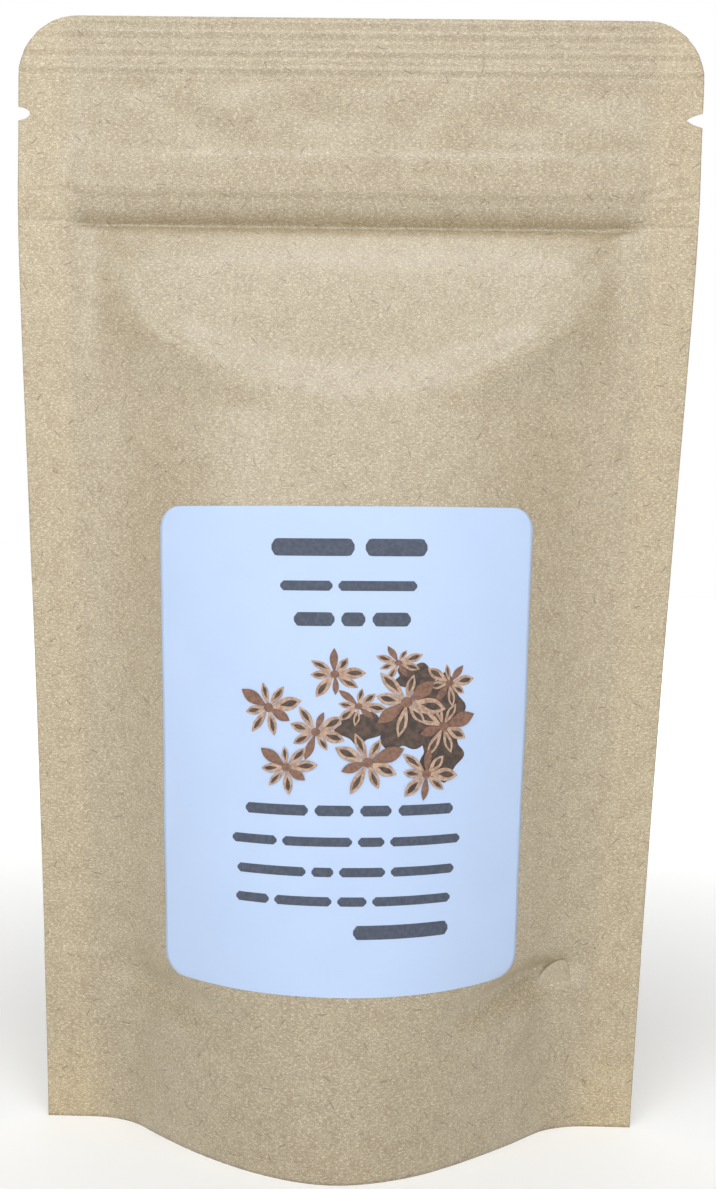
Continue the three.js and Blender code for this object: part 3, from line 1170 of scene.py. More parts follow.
@dataclass
class Pouch:
    """The paper pouch: two panels, their seals and the gusset that it stands on.

    The gusset is flat up to gusset_flat_half, pinched shut from gusset_closed, and gone at
    gusset_end. The seam is where it leaves the skirt's wall, from seam_low in the middle to
    seam_drop under the fold. The map_ fields lay the back and the underside out beside the
    front on the flat map that the paper's grain follows.
    """

    EDGE_SLOT = 1

    flat: FlatPouch
    front: PanelSurface
    back: PanelSurface
    left_notch: TearNotch = TearNotch(depth=2.5, half_gap=1.45, roundness=2.2, bluntness=0.62)
    right_notch: TearNotch = TearNotch(depth=3.5, half_gap=1.5, roundness=1.4, bluntness=0.8)
    cut_start: float = 25.0
    wall: float = 0.34
    wall_steps: int = 7
    seam_low: float = 6.0
    seam_drop: float = 6.0
    gusset_flat_half: float = 22.0
    gusset_flat_share: float = 0.5
    gusset_closed: float = 58.0
    gusset_end: float = 66.0
    fold_power: float = 1.5
    underside_cells: int = 38
    weld: float = 0.002
    rim_low: float = 0.2
    skirt_level: float = 0.02
    skirt_width: float = 3.0
    skirt_cell: float = 2.0
    skirt_middle: float = 0.3
    map_back: float = 400.0
    map_underside: float = -20.0
    map_step: float = 2.2
    columns: Array = field(
        default_factory=lambda: graded(
            mirrored([(0.0, 1.3), (45.0, 1.2), (58.0, 0.9), (72.0, 0.7), (75.0, 0.4)])
        )
    )
    rows: Array = field(
        default_factory=lambda: graded(
            [
                (0.0, 1.0), (6.0, 1.4), (30.0, 1.4), (36.0, 0.8), (40.0, 0.8), (44.0, 1.8),
                (150.0, 1.6), (160.0, 1.0), (190.0, 1.0), (198.0, 0.4), (200.0, 0.25),
                (201.0, 0.2), (203.0, 0.3), (219.0, 0.35), (222.0, 0.16), (226.0, 0.16),
                (228.0, 0.5), (231.0, 0.32), (243.0, 0.32), (244.6, 0.1), (245.0, 0.08),
            ]  # fmt: skip
        )
    )

    def build(self, paper: bpy.types.Material, edge: bpy.types.Material) -> bpy.types.Object:
        """Builds the whole pouch as one closed mesh.

        Args:
            paper: The laminate.
            edge: Its cut edge.

        Returns:
            The finished piece.
        """
        bm = bmesh.new()
        across, up = len(self.columns) - 1, len(self.rows) - 1
        rim = []
        for panel in (self.front, self.back):
            outline = outline_edges(add_sheet(bm, across, up, partial(self._panel, panel)))
            rim += [e for e in outline if max(v.co.z for v in e.verts) > self.rim_low * MM]
        join_outlines(bm, rim, self.EDGE_SLOT)
        add_sheet(bm, across, self.underside_cells, self._underside)
        bmesh.ops.remove_doubles(bm, verts=bm.verts, dist=self.weld * MM)
        bmesh.ops.recalc_face_normals(bm, faces=bm.faces)
        self._sharpen_skirt(bm)
        piece = finish_mesh(bm, "pouch_paper", (paper, edge))
        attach(piece, "root")
        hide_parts("pouch")
        return piece

    def _edge_cut(self, place: Array, z: Array) -> Array:
        """Gives how much is cut off the panel's sides: its round corners and its notches.

        Args:
            place: Places across.
            z: Places up.

        Returns:
            How far the edge moves in at each place.
        """
        radius = self.flat.corner_radius
        into = np.clip(z - (self.flat.height - radius), 0.0, radius)
        corner = radius - np.sqrt(radius**2 - into**2)
        away = z - self.flat.notch_height
        notch = np.where(place < 0, self.left_notch.cut(away), self.right_notch.cut(away))
        return corner + notch

    def _panel(self, panel: PanelSurface, p: Array, q: Array) -> tuple[Array, Array]:
        """Maps a grid to one panel.

        Args:
            panel: The panel's surface.
            p: Places across, from 0 to 1.
            q: Places up, from 0 to 1.

        Returns:
            Points and flat places, in millimetres.
        """
        place = np.interp(p, np.linspace(0, 1, len(self.columns)), self.columns)
        z = np.interp(q, np.linspace(0, 1, len(self.rows)), self.rows)
        near = eased(np.abs(place), self.cut_start, self.flat.half)
        u = place - np.sign(place) * self._edge_cut(place, z) * near
        shift = 0.0 if panel.side is Side.FRONT else self.map_back
        return panel.points(u, z), np.stack([u + shift, z], axis=1)

    def _underside(self, p: Array, q: Array) -> tuple[Array, Array]:
        """Maps a grid to the skirt's inside and the gusset's hollow, from front to back.

        Args:
            p: Places across, from 0 to 1.
            q: Places from the front's bottom edge to the back's, from 0 to 1.

        Returns:
            Points and flat places, in millimetres.
        """
        u = np.interp(p, np.linspace(0, 1, len(self.columns)), self.columns)
        away = np.abs(u)
        rise = eased(away, self.gusset_flat_half, self.gusset_closed)
        opened = 1 - eased(away, self.gusset_closed, self.gusset_end)
        seam = between(self.seam_low, self.flat.gusset - self.seam_drop, rise) * opened
        fold = self.flat.gusset * rise * opened

        # Up the inside of the skirt's front or back wall.
        step = np.rint(q * self.underside_cells)
        up_wall = np.minimum(step, self.underside_cells - step)
        z = seam * np.clip((up_wall - 1) / (self.wall_steps - 1), 0, 1)
        zero = np.zeros_like(u)
        front_edge, back_edge = self.front.points(u, zero), self.back.points(u, zero)
        wall = np.minimum(self.wall, (back_edge[:, 1] - front_edge[:, 1]) / 4)
        front_wall, back_wall = self.front.points(u, z, -wall), self.back.points(u, z, -wall)
        front_wall[:, 2] = back_wall[:, 2] = z

        # Across the gusset from one wall to the other.
        hollow_steps = self.underside_cells - 2 * self.wall_steps
        share = np.clip((step - self.wall_steps) / hollow_steps, 0, 1)
        points = between(front_wall, back_wall, share[:, None])
        past = np.clip(np.abs(2 * share - 1) - self.gusset_flat_share, 0, None)
        climb = (past / (1 - self.gusset_flat_share)) ** self.fold_power
        points[:, 2] = between(fold, seam, climb)

        in_front = (step < self.underside_cells / 2)[:, None]
        on_wall = (up_wall < self.wall_steps)[:, None]
        points = np.where(on_wall, np.where(in_front, front_wall, back_wall), points)
        on_edge = ((up_wall == 0) | (away > self.flat.half - 0.01))[:, None]
        points = np.where(on_edge, np.where(in_front, front_edge, back_edge), points)
        return points, np.stack([u, self.map_underside - step * self.map_step], axis=1)

    def _sharpen_skirt(self, bm: bmesh.types.BMesh) -> None:
        """Shades the skirt's narrow bottom edge flat, so that it looks cut.

        Args:
            bm: The pouch's mesh.
        """
        for face in bm.faces:
            ys = [vert.co.y / MM for vert in face.verts]
            low = all(vert.co.z / MM < self.skirt_level for vert in face.verts)
            narrow = max(ys) - min(ys) < self.skirt_width
            small = face.calc_area() / MM**2 < self.skirt_cell
            beside = abs(face.calc_center_median().y / MM) > self.skirt_middle
            if low and narrow and small and beside and abs(face.normal.z) > 0.9:
                face.smooth = False


# ---------------------------------------------------------------------------------------------
# Label
# ---------------------------------------------------------------------------------------------


@dataclass
class Label:
    """The label's sheet, which follows the front panel. a runs across it and b up it."""

    HIGHEST = 190.0
    STEP = 0.5

    panel: PanelSurface
    width: float = 84.7
    height: float = 101.6
    corner: float = 5.0
    thickness: float = 0.12
    lift: float = 0.05
    centre_u: float = -0.9
    centre_rise: float = 88.3
    tilt: float = 0.5
    columns: int = 96
    rows: Array = field(
        default_factory=lambda: graded(
            mirrored([(0.0, 1.1), (44.0, 1.1), (47.5, 0.5), (50.2, 0.14), (50.8, 0.05)])
        )
    )

    def __post_init__(self) -> None:
        """Measures the paper's length up the front panel's middle."""
        self._heights = np.arange(0.0, self.HIGHEST, self.STEP)
        middle = self.panel.plain(np.zeros_like(self._heights), self._heights)
        steps = np.linalg.norm(np.diff(middle, axis=0), axis=1)
        self._rises = np.concatenate([[0.0], np.cumsum(steps)])

    def place(self, a: Array, b: Array, proud: float | Array) -> Array:
        """Gives points on or over the label.

        Args:
            a: Places across the label.
            b: Places up it.
            proud: How far above the paper panel they lie.

        Returns:
            One row of x, y and z for each place, in millimetres.
        """
        tilt = math.radians(self.tilt)
        u = self.centre_u + a * math.cos(tilt) - b * math.sin(tilt)
        rise = self.centre_rise + a * math.sin(tilt) + b * math.cos(tilt)
        z = np.interp(rise, self._rises, self._heights)
        return self.panel.points(u, z, proud)

    @property
    def face(self) -> float:
        """How far the label's face lies above the paper."""
        return self.lift + self.thickness

    def build(self, stock: bpy.types.Material) -> bpy.types.Object:
        """Builds the label's sheet with its thickness.

        Args:
            stock: The label paper.

        Returns:
            The finished piece.
        """
        bm = bmesh.new()
        rim = []
        for proud in (self.face, self.lift):
            sheet = partial(self._sheet, proud)
            rim += outline_edges(add_sheet(bm, self.columns, len(self.rows) - 1, sheet))
        join_outlines(bm, rim)
        bmesh.ops.recalc_face_normals(bm, faces=bm.faces)
        piece = finish_mesh(bm, "label_sheet", (stock,))
        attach(piece, "root")
        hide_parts("label")
        return piece

    def _sheet(self, proud: float, p: Array, q: Array) -> tuple[Array, Array]:
        """Maps a grid to the label's outline with its round corners.

        Args:
            proud: How far above the paper panel it lies.
            p: Places across, from 0 to 1.
            q: Places up, from 0 to 1.

        Returns:
            Points and places on the label, in millimetres.
        """
        b = np.interp(q, np.linspace(0, 1, len(self.rows)), self.rows)
        into = np.clip(np.abs(b) - (self.height / 2 - self.corner), 0.0, self.corner)
        inset = self.corner - np.sqrt(self.corner**2 - into**2)
        a = (2 * p - 1) * (self.width / 2 - inset)
        return self.place(a, b, proud), np.stack([a, b], axis=1)


@dataclass(frozen=True)
class WordBar:
    """A plain rounded bar that stands where a word would be printed."""

    left: float
    middle: float
    length: float
    height: float
    roundness: float = 0.36

    def outline(self, p: Array, q: Array) -> tuple[Array, Array]:
        """Maps a grid to the bar.

        Args:
            p: Places along it, from 0 to 1.
            q: Places across it, from 0 to 1.

        Returns:
            Places on the label.
        """
        radius = self.height * self.roundness
        along = p * self.length
        into = np.clip(np.maximum(radius - along, along - self.length + radius), 0, radius)
        half = self.height / 2 - radius + np.sqrt(radius**2 - into**2)
        return self.left + along, self.middle + (2 * q - 1) * half


@dataclass(frozen=True)
class InkPatch:
    """A small patch of ink with a softly uneven round edge."""

    centre: tuple[float, float]
    radius: float
    squash: float = 1.0
    unevenness: float = 0.0

    def outline(self, p: Array, q: Array) -> tuple[Array, Array]:
        """Maps a grid to the patch.

        Args:
            p: Places across it, from 0 to 1.
            q: Places up it, from 0 to 1.

        Returns:
            Places on the label.
        """
        x, y = 2 * p - 1, 2 * q - 1
        lobes = np.sin(5 * np.arctan2(y, x) + self.centre[0])
        size = self.radius * (1 + self.unevenness * lobes * np.maximum(np.abs(x), np.abs(y)))
        a = self.centre[0] + x * np.sqrt(1 - y * y / 2) * size
        b = self.centre[1] + y * np.sqrt(1 - x * x / 2) * size * self.squash
        return a, b


@dataclass(frozen=True)
class StarPod:
    """A generic seed pod, printed flat: pointed arms round a middle, most of them split open.

    length and width are a share of the radius each, and how much it varies from arm to arm.
    whole and hollow are where an arm and its split begin and end, as shares of its length.
    """

    centre: tuple[float, float]
    radius: float
    turn: float
    squash: float
    arms: int = 8
    length: tuple[float, float] = (0.92, 0.16)
    width: tuple[float, float] = (0.8, 0.2)
    half_width: float = 0.2
    base_width: float = 0.16
    belly_power: float = 1.25
    bend: float = 0.12
    whole: tuple[float, float] = (0.08, 1.0)
    hollow: tuple[float, float] = (0.34, 0.88)
    hollow_width: float = 0.5
    middle: float = 0.15

    def arm(self, number: int, split: bool, p: Array, q: Array) -> tuple[Array, Array]:
        """Maps a grid to one arm, or to the dark hollow where it has split.

        Args:
            number: Which arm it is.
            split: Whether the hollow is wanted.
            p: Places along it, from 0 to 1.
            q: Places across it, from 0 to 1.

        Returns:
            Places on the label.
        """
        usual, varied = self.length
        length = self.radius * (usual + varied * math.sin(2.4 * number + 5 * self.turn))
        usual, varied = self.width
        wide = usual + varied * math.cos(1.7 * number + self.turn)
        first, last = self.hollow if split else self.whole
        along = length * between(first, last, p)
        belly = np.sin(np.clip(p, 0, 1) ** self.belly_power * math.pi)
        if split:
            wide *= self.hollow_width
        else:
            belly += self.base_width * (1 - p)
        side = (2 * q - 1) * self.half_width * length * wide * belly
        bend = self.bend * math.sin(3.1 * number + self.turn) * p
        angle = self.turn + number * math.tau / self.arms + bend
        a = along * np.cos(angle) - side * np.sin(angle)
        b = along * np.sin(angle) + side * np.cos(angle)
        return self.centre[0] + a, self.centre[1] + b * self.squash

    def is_split(self, number: int) -> bool:
        """Returns whether an arm has split open."""
        return (number * 3 + round(self.centre[0])) % 4 != 1


class PodInk(IntEnum):
    """The inks of the cluster, by their place among its materials."""

    DARK = 0
    RIM = 1
    DUSK = 2


@dataclass
class LabelPrint:
    """What is printed on the label: rounded bars for words, and a cluster of generic seed pods.

    layer is how far the first layer of ink lies above the label, and picture_layer how far each
    shape of the cluster lies above the one before it.
    """

    label: Label
    layer: float = 0.02
    picture_layer: float = 0.006
    word_cell: float = 0.7
    patch_cells: tuple[int, int] = (12, 12)
    arm_cells: tuple[int, int] = (12, 4)
    hollow_cells: tuple[int, int] = (8, 4)
    middle_cells: tuple[int, int] = (6, 6)
    words: tuple[WordBar, ...] = (
        WordBar(-15.5, 42.1, 17.5, 3.7),
        WordBar(4.3, 42.1, 13.0, 3.7),
        WordBar(-13.5, 34.0, 11.0, 2.1),
        WordBar(-1.3, 34.0, 16.5, 2.1),
        WordBar(-10.5, 27.0, 8.5, 2.9),
        WordBar(-0.6, 27.0, 5.0, 2.9),
        WordBar(5.9, 27.0, 8.0, 2.9),
        WordBar(-20.5, -12.6, 13.5, 2.2),
        WordBar(-5.6, -12.6, 8.0, 2.2),
        WordBar(3.8, -12.6, 6.5, 2.2),
        WordBar(11.8, -12.6, 12.0, 2.2),
        WordBar(-23.5, -19.0, 10.0, 1.9),
        WordBar(-12.3, -19.0, 14.5, 1.9),
        WordBar(3.4, -19.0, 5.5, 1.9),
        WordBar(10.1, -19.0, 15.5, 1.9),
        WordBar(-22.3, -25.2, 15.0, 1.9),
        WordBar(-6.1, -25.2, 4.5, 1.9),
        WordBar(-0.4, -25.2, 9.5, 1.9),
        WordBar(10.3, -25.2, 14.0, 1.9),
        WordBar(-22.6, -31.2, 7.5, 1.9),
        WordBar(-13.9, -31.2, 12.0, 1.9),
        WordBar(-0.7, -31.2, 6.0, 1.9),
        WordBar(6.5, -31.2, 17.0, 1.9),
        WordBar(2.6, -37.5, 20.5, 2.9),
    )
    pods: tuple[StarPod, ...] = (
        StarPod((22.5, 13.6), 5.6, 0.15, 0.9),
        StarPod((11.4, 18.0), 5.4, 0.4, 0.72),
        StarPod((3.2, 9.0), 5.6, 0.7, 0.78),
        StarPod((-1.8, 15.6), 6.4, 0.9, 0.84),
        StarPod((-15.6, 8.4), 6.8, 0.22, 0.92),
        StarPod((-5.6, 3.6), 6.4, 0.5, 0.9),
        StarPod((21.2, 4.6), 7.0, 0.3, 0.95),
        StarPod((13.2, 9.8), 8.2, 0.62, 0.9),
        StarPod((17.6, -5.2), 6.6, 0.75, 0.92),
        StarPod((5.2, -2.6), 7.6, 0.35, 0.9),
        StarPod((-11.6, -3.8), 6.6, 0.1, 0.84),
    )
    shade: tuple[InkPatch, ...] = (
        InkPatch((20.5, 8.5), 5.2, 1.3, 0.14),
        InkPatch((21.0, -1.0), 4.6, 1.2, 0.14),
        InkPatch((12.4, 4.6), 5.6, 0.8, 0.16),
        InkPatch((3.4, 4.6), 4.6, 0.7, 0.16),
        InkPatch((15.0, 15.0), 4.0, 0.7, 0.16),
    )
    slate: PrintInk = PrintInk("slate_ink", "#3F4656", "#4B5364")
    dark: PrintInk = PrintInk("dark_brown_ink", "#3A312C", "#5A483D", 1.2)
    rim: PrintInk = PrintInk("tan_ink", "#B89C86", "#937564", 0.8)
    dusk: PrintInk = PrintInk("red_brown_ink", "#85624F", "#6A4D41", 0.7)

    def build(self) -> list[bpy.types.Object]:
        """Builds the print.

        Returns:
            The finished pieces.
        """
        return [self._words(), self._picture()]

    def _print(
        self,
        bm: bmesh.types.BMesh,
        cells: tuple[int, int],
        outline: Mapping,
        ink: int = 0,
        height: float = 0.0,
    ) -> None:
        """Adds one printed shape.

        Args:
            bm: The mesh to add to.
            cells: Number of cells along and across it.
            outline: Maps a grid to places on the label.
            ink: Its material slot.
            height: How far it lies above the first layer, in millimetres.
        """
        add_sheet(bm, *cells, partial(self._lay, outline, height), material=ink)

    def _lay(self, outline: Mapping, height: float, p: Array, q: Array) -> tuple[Array, Array]:
        """Maps a grid to a shape that lies on the label.

        Args:
            outline: Maps the grid to places on the label.
            height: How far the shape lies above the first layer, in millimetres.
            p: Places along the shape, from 0 to 1.
            q: Places across it, from 0 to 1.

        Returns:
            Points and places on the label, in millimetres.
        """
        a, b = outline(p, q)
        proud = self.label.face + self.layer + height
        return self.label.place(a, b, proud), np.stack([a, b], axis=1)

    def _finish(
        self, bm: bmesh.types.BMesh, name: str, inks: Sequence[PrintInk]
    ) -> bpy.types.Object:
        """Turns printed shapes into a piece that faces away from the label.

        Args:
            bm: The shapes, which are freed.
            name: The piece's name.
            inks: Its inks, in slot order.

        Returns:
            The finished piece.
        """
        for face in bm.faces:
            if face.normal.y > 0:
                face.normal_flip()
        piece = finish_mesh(bm, name, [ink.make() for ink in inks])
        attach(piece, "root")
        return piece

    def _words(self) -> bpy.types.Object:
        """Prints the bars that stand for words.

        Returns:
            The finished piece.
        """
        bm = bmesh.new()
        for word in self.words:
            along = max(8, round(word.length / self.word_cell))
            self._print(bm, (along, 4), word.outline)
        return self._finish(bm, "label_words", (self.slate,))

    def _picture(self) -> bpy.types.Object:
        """Prints the cluster of seed pods, each over the ones before it.

        Returns:
            The finished piece.
        """
        bm = bmesh.new()
        for number, patch in enumerate(self.shade):
            height = number * self.picture_layer
            self._print(bm, self.patch_cells, patch.outline, PodInk.DARK, height)
        height = len(self.shade) * self.picture_layer
        for pod in self.pods:
            height = self._pod(bm, pod, height)
        return self._finish(bm, "label_pods", (self.dark, self.rim, self.dusk))

    def _pod(self, bm: bmesh.types.BMesh, pod: StarPod, height: float) -> float:
        """Adds one seed pod: its arms, the hollows in the split ones and its middle.

        Args:
            bm: The mesh to add to.
            pod: The pod.
            height: How far it lies above the first layer, in millimetres.

        Returns:
            The height over it.
        """
        above = height + self.picture_layer
        for arm in range(pod.arms):
            split = pod.is_split(arm)
            ink = PodInk.RIM if split else PodInk.DUSK
            self._print(bm, self.arm_cells, partial(pod.arm, arm, False), ink, height)
            if split:
                hollow = partial(pod.arm, arm, True)
                self._print(bm, self.hollow_cells, hollow, PodInk.DARK, above)
        height += 2 * self.picture_layer
        middle = InkPatch(pod.centre, pod.radius * pod.middle, pod.squash)
        self._print(bm, self.middle_cells, middle.outline, PodInk.DUSK, height)
        return height + self.picture_layer


# ---------------------------------------------------------------------------------------------
# Studio
# ---------------------------------------------------------------------------------------------


@dataclass(frozen=True)
class SoftLight:
    """A soft box: a flat light that faces the pouch."""

    name: str
    position: tuple[float, float, float]
    size: tuple[float, float]
    power: float
    colour: str = "#FFFFFF"

    def build(self, target: Vector) -> bpy.types.Object:
        """Adds the light.

        Args:
            target: The point that it faces, in metres.

        Returns:
            The light.
        """
        data = bpy.data.lights.new(self.name, "AREA")
        data.shape = "RECTANGLE"
        data.size, data.size_y = self.size
        data.energy = self.power
        data.color = linear(self.colour)[:3]
        light = bpy.data.objects.new(self.name, data)
        light.location = self.position
        light.rotation_euler = (target - light.location).to_track_quat("-Z", "Y").to_euler()
        bpy.context.scene.collection.objects.link(light)
        return light


@dataclass(frozen=True)
class Studio:
    """The white floor, the light and the camera."""

    seal_plane: float
    camera_place: tuple[float, float, float] = (1.25, -304.77, 132.13)
    pitch: float = 2.42
    yaw: float = -0.08
    roll: float = 1.24
    focal_pixels: float = 1369.1
    frame_height: int = 1189
    sensor_width: float = 36.0
    aim: tuple[float, float, float] = (0.0, 0.0, 0.14)
    floor_size: float = 6.0
    floor_colours: tuple[str, str] = ("#F3F3F2", "#F6F6F4")
    floor_cloud_scale: float = 6.0
    floor_glow_ends: tuple[float, float] = (0.07, 0.6)
    floor_glow: tuple[float, float] = (0.15, 0.75)
    wall_strength: float = 1.0
    front_wall_strength: float = 0.3
    window_strength: float = 1.9
    lights: tuple[SoftLight, ...] = (
        SoftLight("left_light", (-0.59, -0.85, 0.52), (0.4, 0.4), 1.8),
        SoftLight("right_light", (0.59, -0.85, 0.52), (0.4, 0.4), 0.85),
        SoftLight("low_light", (0.0, -1.1, 0.24), (0.4, 0.4), 0.6),
        SoftLight("top_light", (0.0, -0.45, 1.14), (0.4, 0.4), 3.6),
        SoftLight("back_light", (0.0, 1.36, 0.99), (2.4, 0.75), 6.0),
    )

    def build(self) -> None:
        """Builds the floor, the lights, the world and the camera."""
        self._floor()
        self._world()
        for light in self.lights:
            light.build(Vector(self.aim))
        self._camera()

    def _floor(self) -> None:
        """Adds the floor: one wide matt white sheet, lit from below where it meets the walls."""
        bm = bmesh.new()
        bmesh.ops.create_grid(bm, x_segments=8, y_segments=8, size=self.floor_size / 2)
        material, tree = new_material("white_studio_floor")
        place = add_node(tree, "ShaderNodeTexCoord", {}).outputs["Object"]
        inputs = {"Vector": place, "Scale": self.floor_cloud_scale}
        cloud = add_node(tree, "ShaderNodeTexNoise", inputs)
        shade, pale = (linear(colour) for colour in self.floor_colours)
        colour = add_node(tree, MIX, {0: cloud, 6: shade, 7: pale}, data_type="RGBA").outputs[2]
        far = add_node(tree, "ShaderNodeVectorMath", {0: place}, operation="LENGTH")
        near_edge, far_edge = self.floor_glow_ends
        low, high = (share * self.wall_strength for share in self.floor_glow)
        glow = add_node(
            tree,
            RANGE,
            {
                "Value": far.outputs["Value"],
                "From Min": near_edge,
                "From Max": far_edge,
                "To Min": low,
                "To Max": high,
            },
            interpolation_type="SMOOTHSTEP",
        )
        close_material(
            tree,
            {
                "Base Color": colour,
                "Roughness": 0.9,
                "IOR": 1.3,
                "Emission Color": linear("#FFFFFF"),
                "Emission Strength": glow,
            },
        )
        floor = finish_mesh(bm, "floor", (material,))

    def _world(self) -> None:
        """Fills the room with soft light: pale walls, and a wide window high up in front."""
        world = bpy.data.worlds.new("white_room")
        world.use_nodes = True
        tree = world.node_tree
        tree.nodes.clear()
        place = add_node(tree, "ShaderNodeTexCoord", {}).outputs["Generated"]
        axes = add_node(tree, "ShaderNodeSeparateXYZ", {"Vector": place}).outputs
        # Each ramp goes from one strength to another between two places, and may use the one
        # before it. Together they are the walls, a brighter backdrop and the window.
        ramps = (
            ("wall", "Y", (0.0, 0.4), (self.front_wall_strength, self.wall_strength)),
            ("walls", "Z", (0.34, 0.46), ("wall", 0.0)),
            ("behind", "Y", (0.1, 0.5), (0.0, self.wall_strength)),
            ("backdrop", "Z", (0.48, 0.6), ("behind", 0.0)),
            ("sill", "Z", (0.3, 0.38), (0.0, self.window_strength)),
            ("lintel", "Z", (0.66, 0.76), ("sill", 0.0)),
            ("window", "Y", (-0.4, -0.2), ("lintel", 0.0)),
        )
        made = {}
        for name, axis, (start, end), levels in ramps:
            low, high = (made.get(level, level) for level in levels)
            ends = {"From Min": start, "From Max": end, "To Min": low, "To Max": high}
            made[name] = add_node(tree, RANGE, {"Value": axes[axis], **ends})
        inputs = {0: made["walls"], 1: made["backdrop"]}
        walls = add_node(tree, MATH, inputs, operation="MAXIMUM")
        strength = add_node(tree, MATH, {0: walls, 1: made["window"]}, operation="ADD")
        inputs = {"Color": linear("#FFFFFF"), "Strength": strength}
        light = add_node(tree, "ShaderNodeBackground", inputs)
        add_node(tree, "ShaderNodeOutputWorld", {"Surface": light})
        bpy.context.scene.world = world
        bpy.context.scene.view_settings.view_transform = "Standard"

    def _camera(self) -> None:
        """Sets up the camera in front of the pouch, level with its middle."""
        data = bpy.data.cameras.new("front_camera")
        data.sensor_width = self.sensor_width
        data.lens = self.sensor_width * self.focal_pixels / self.frame_height
        data.clip_start, data.clip_end = 0.01, 50.0
        pitch, yaw, roll = (math.radians(v) for v in (self.pitch, self.yaw, self.roll))
        forward = Vector(
            (-math.sin(yaw) * math.cos(pitch), math.cos(yaw) * math.cos(pitch), -math.sin(pitch))
        )
        level = Vector((math.cos(yaw), math.sin(yaw), 0.0))
        upright = level.cross(forward)
        right = level * math.cos(roll) + upright * math.sin(roll)
        up = upright * math.cos(roll) - level * math.sin(roll)
        turned = Matrix((right, up, -forward)).transposed().to_4x4()
        place = Vector(self.camera_place) + Vector((0.0, self.seal_plane, 0.0))
        camera = bpy.data.objects.new("front_camera", data)
        camera.matrix_world = Matrix.Translation(place * MM) @ turned
        bpy.context.scene.collection.objects.link(camera)
        bpy.context.scene.camera = camera


# ---------------------------------------------------------------------------------------------
# The whole
# ---------------------------------------------------------------------------------------------

FRONT_BULGE = Bulge(turn=45.0, ridge_shift=-1.0, nose=(0.8, 0.55), nose_power=(0.8, 2.2))
BACK_BULGE = Bulge(turn=47.0, ridge_shift=0.0, nose=(0.9, 0.8), nose_power=(0.9, 1.2))

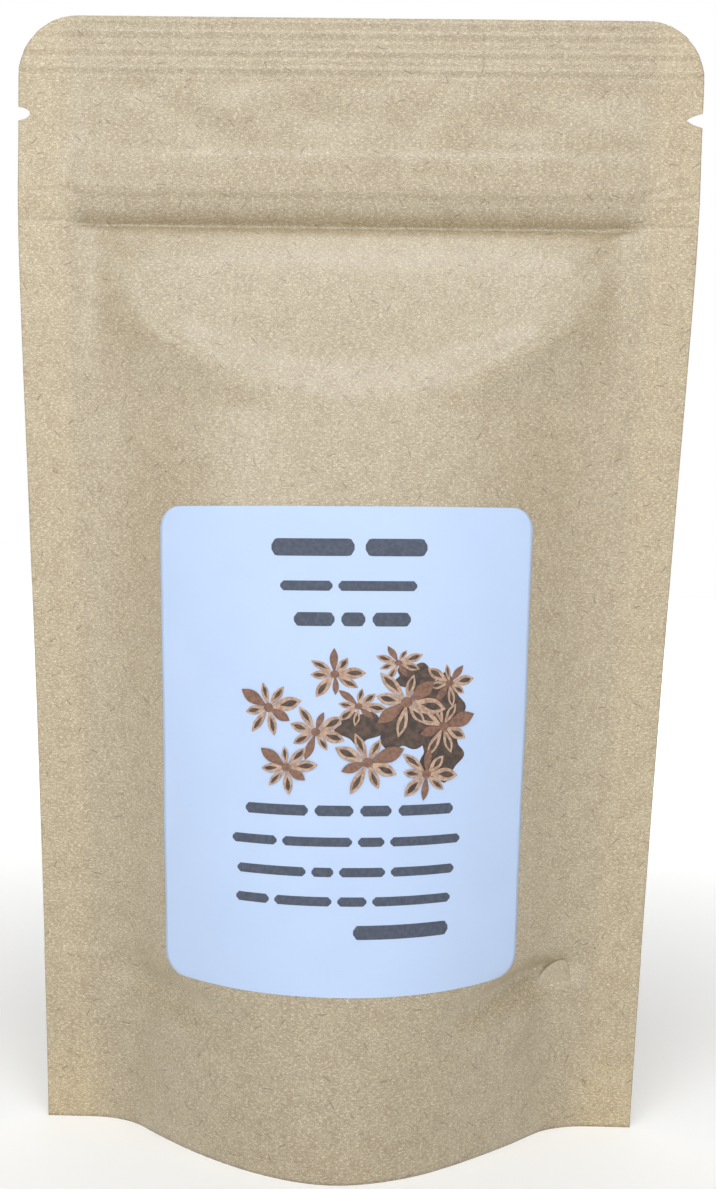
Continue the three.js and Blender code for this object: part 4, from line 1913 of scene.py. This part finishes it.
FRONT_RELIEF = Relief(
    wrinkles=(
        Wrinkle((-74.0, 207.6), (-67.0, 207.4), -0.3, 0.5),
        Wrinkle((-67.5, 208.4), (-61.0, 206.6), -0.28, 0.6),
        Wrinkle((-66.0, 208.0), (-62.5, 203.6), 0.22, 0.5),
        Wrinkle((-70.5, 207.0), (-66.5, 202.8), 0.2, 0.5),
        Wrinkle((-68.4, 207.4), (-64.6, 203.4), -0.2, 0.5),
        Wrinkle((-64.4, 211.0), (-61.5, 207.8), 0.18, 0.5),
        Wrinkle((60.5, 207.6), (72.5, 213.0), 0.24, 0.6),
        Wrinkle((60.5, 207.0), (72.8, 210.2), -0.2, 0.6),
        Wrinkle((61.0, 206.6), (71.5, 207.6), 0.2, 0.5),
        Wrinkle((62.0, 207.4), (71.0, 204.2), -0.22, 0.6),
        Wrinkle((64.0, 205.4), (73.5, 205.2), 0.24, 0.6),
        Wrinkle((51.0, 198.2), (60.0, 201.6), -0.3, 1.2),
        Wrinkle((-79.0, 201.0), (-62.0, 201.0), -0.2, 0.4),
        Wrinkle((62.0, 201.0), (79.0, 201.0), -0.2, 0.4),
        Wrinkle((65.0, 37.2), (22.0, 31.0), -2.6, 3.6),
        Wrinkle((62.5, 37.7), (34.0, 35.2), -0.8, 1.7),
        Wrinkle((-63.0, 35.5), (-20.0, 28.5), -2.2, 4.2),
        Wrinkle((52.0, 30.0), (37.0, 19.0), 0.6, 1.8),
        Wrinkle((-77.0, 24.0), (-66.0, 22.4), -0.14, 0.5),
        Wrinkle((-71.0, 23.8), (-62.0, 18.8), -0.14, 0.5),
        Wrinkle((77.0, 23.6), (65.0, 21.2), -0.14, 0.5),
        Wrinkle((69.0, 22.4), (61.5, 17.2), -0.14, 0.5),
    ),
    dents=(
        Dent((-48.0, 230.0), (5.0, 3.5), 0.8),
        Dent((-36.0, 222.5), (9.0, 4.0), 1.2, lean=-35.0),
        Dent((-22.0, 231.5), (9.0, 2.8), 0.6),
        Dent((-9.0, 224.0), (8.0, 4.4), 1.35, lean=-20.0),
        Dent((2.0, 230.5), (5.0, 3.0), 0.65),
        Dent((11.0, 222.0), (6.0, 3.6), 1.05, lean=30.0),
        Dent((34.0, 222.5), (8.0, 3.8), 1.05, lean=-10.0),
        Dent((54.0, 229.0), (12.0, 4.0), 0.95, lean=-5.0),
        Dent((-27.0, 224.0), (8.0, 5.0), -0.8, lean=-35.0),
        Dent((2.0, 217.5), (5.0, 4.0), -0.9, lean=-20.0),
        Dent((20.0, 224.5), (9.0, 4.0), -0.8, lean=15.0),
        Dent((50.0, 220.5), (8.0, 4.5), -0.8, lean=20.0),
        Dent((-8.0, 9.5), (9.0, 5.0), -0.4),
        Dent((-10.0, 19.0), (8.0, 4.5), -0.3),
    ),
)
BACK_RELIEF = Relief(
    seed=21.3,
    wrinkles=(
        Wrinkle((-72.0, 206.0), (-62.0, 209.5), 0.24, 0.6),
        Wrinkle((-73.0, 204.0), (-63.0, 205.5), -0.22, 0.6),
        Wrinkle((63.0, 206.8), (72.0, 210.0), -0.24, 0.6),
        Wrinkle((62.0, 204.6), (71.5, 203.8), 0.22, 0.6),
    ),
    dents=(
        Dent((-51.0, 180.0), (10.0, 6.0), 0.9, lean=-52.0),
        Dent((50.0, 183.0), (10.0, 6.0), 0.9, lean=52.0),
    ),
)


def seal_plane(flat: FlatPouch, gap: float = 0.6) -> float:
    """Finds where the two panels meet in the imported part.

    Args:
        flat: The flat pouch.
        gap: Half the thickness of the solid where both panels lie flat on each other.

    Returns:
        The place along Y, in millimetres.
    """
    lowest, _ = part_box("pouch")
    plain = PanelSurface(flat, Side.FRONT, FRONT_BULGE, FRONT_RELIEF, 0.0)
    return lowest.y / MM + plain.depth + gap


def main() -> None:
    """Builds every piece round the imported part, then the studio."""
    logging.basicConfig(level=logging.INFO, format="%(message)s")
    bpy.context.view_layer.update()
    flat = FlatPouch()
    plane = seal_plane(flat)
    front = PanelSurface(flat, Side.FRONT, FRONT_BULGE, FRONT_RELIEF, plane)
    back = PanelSurface(flat, Side.BACK, BACK_BULGE, BACK_RELIEF, plane, shared_width=front)
    label = Label(front)
    pieces = [
        Pouch(flat, front, back).build(KraftLaminate().make(), CutEdge().make()),
        label.build(LabelStock().make()),
        *LabelPrint(label).build(),
    ]
    bpy.context.view_layer.update()
    LOG.info("panels meet at y = %.2f mm", plane)
    for piece in pieces:
        report(piece)
    Studio(plane).build()
    bpy.context.view_layer.update()


if __name__ == "__main__":
    main()
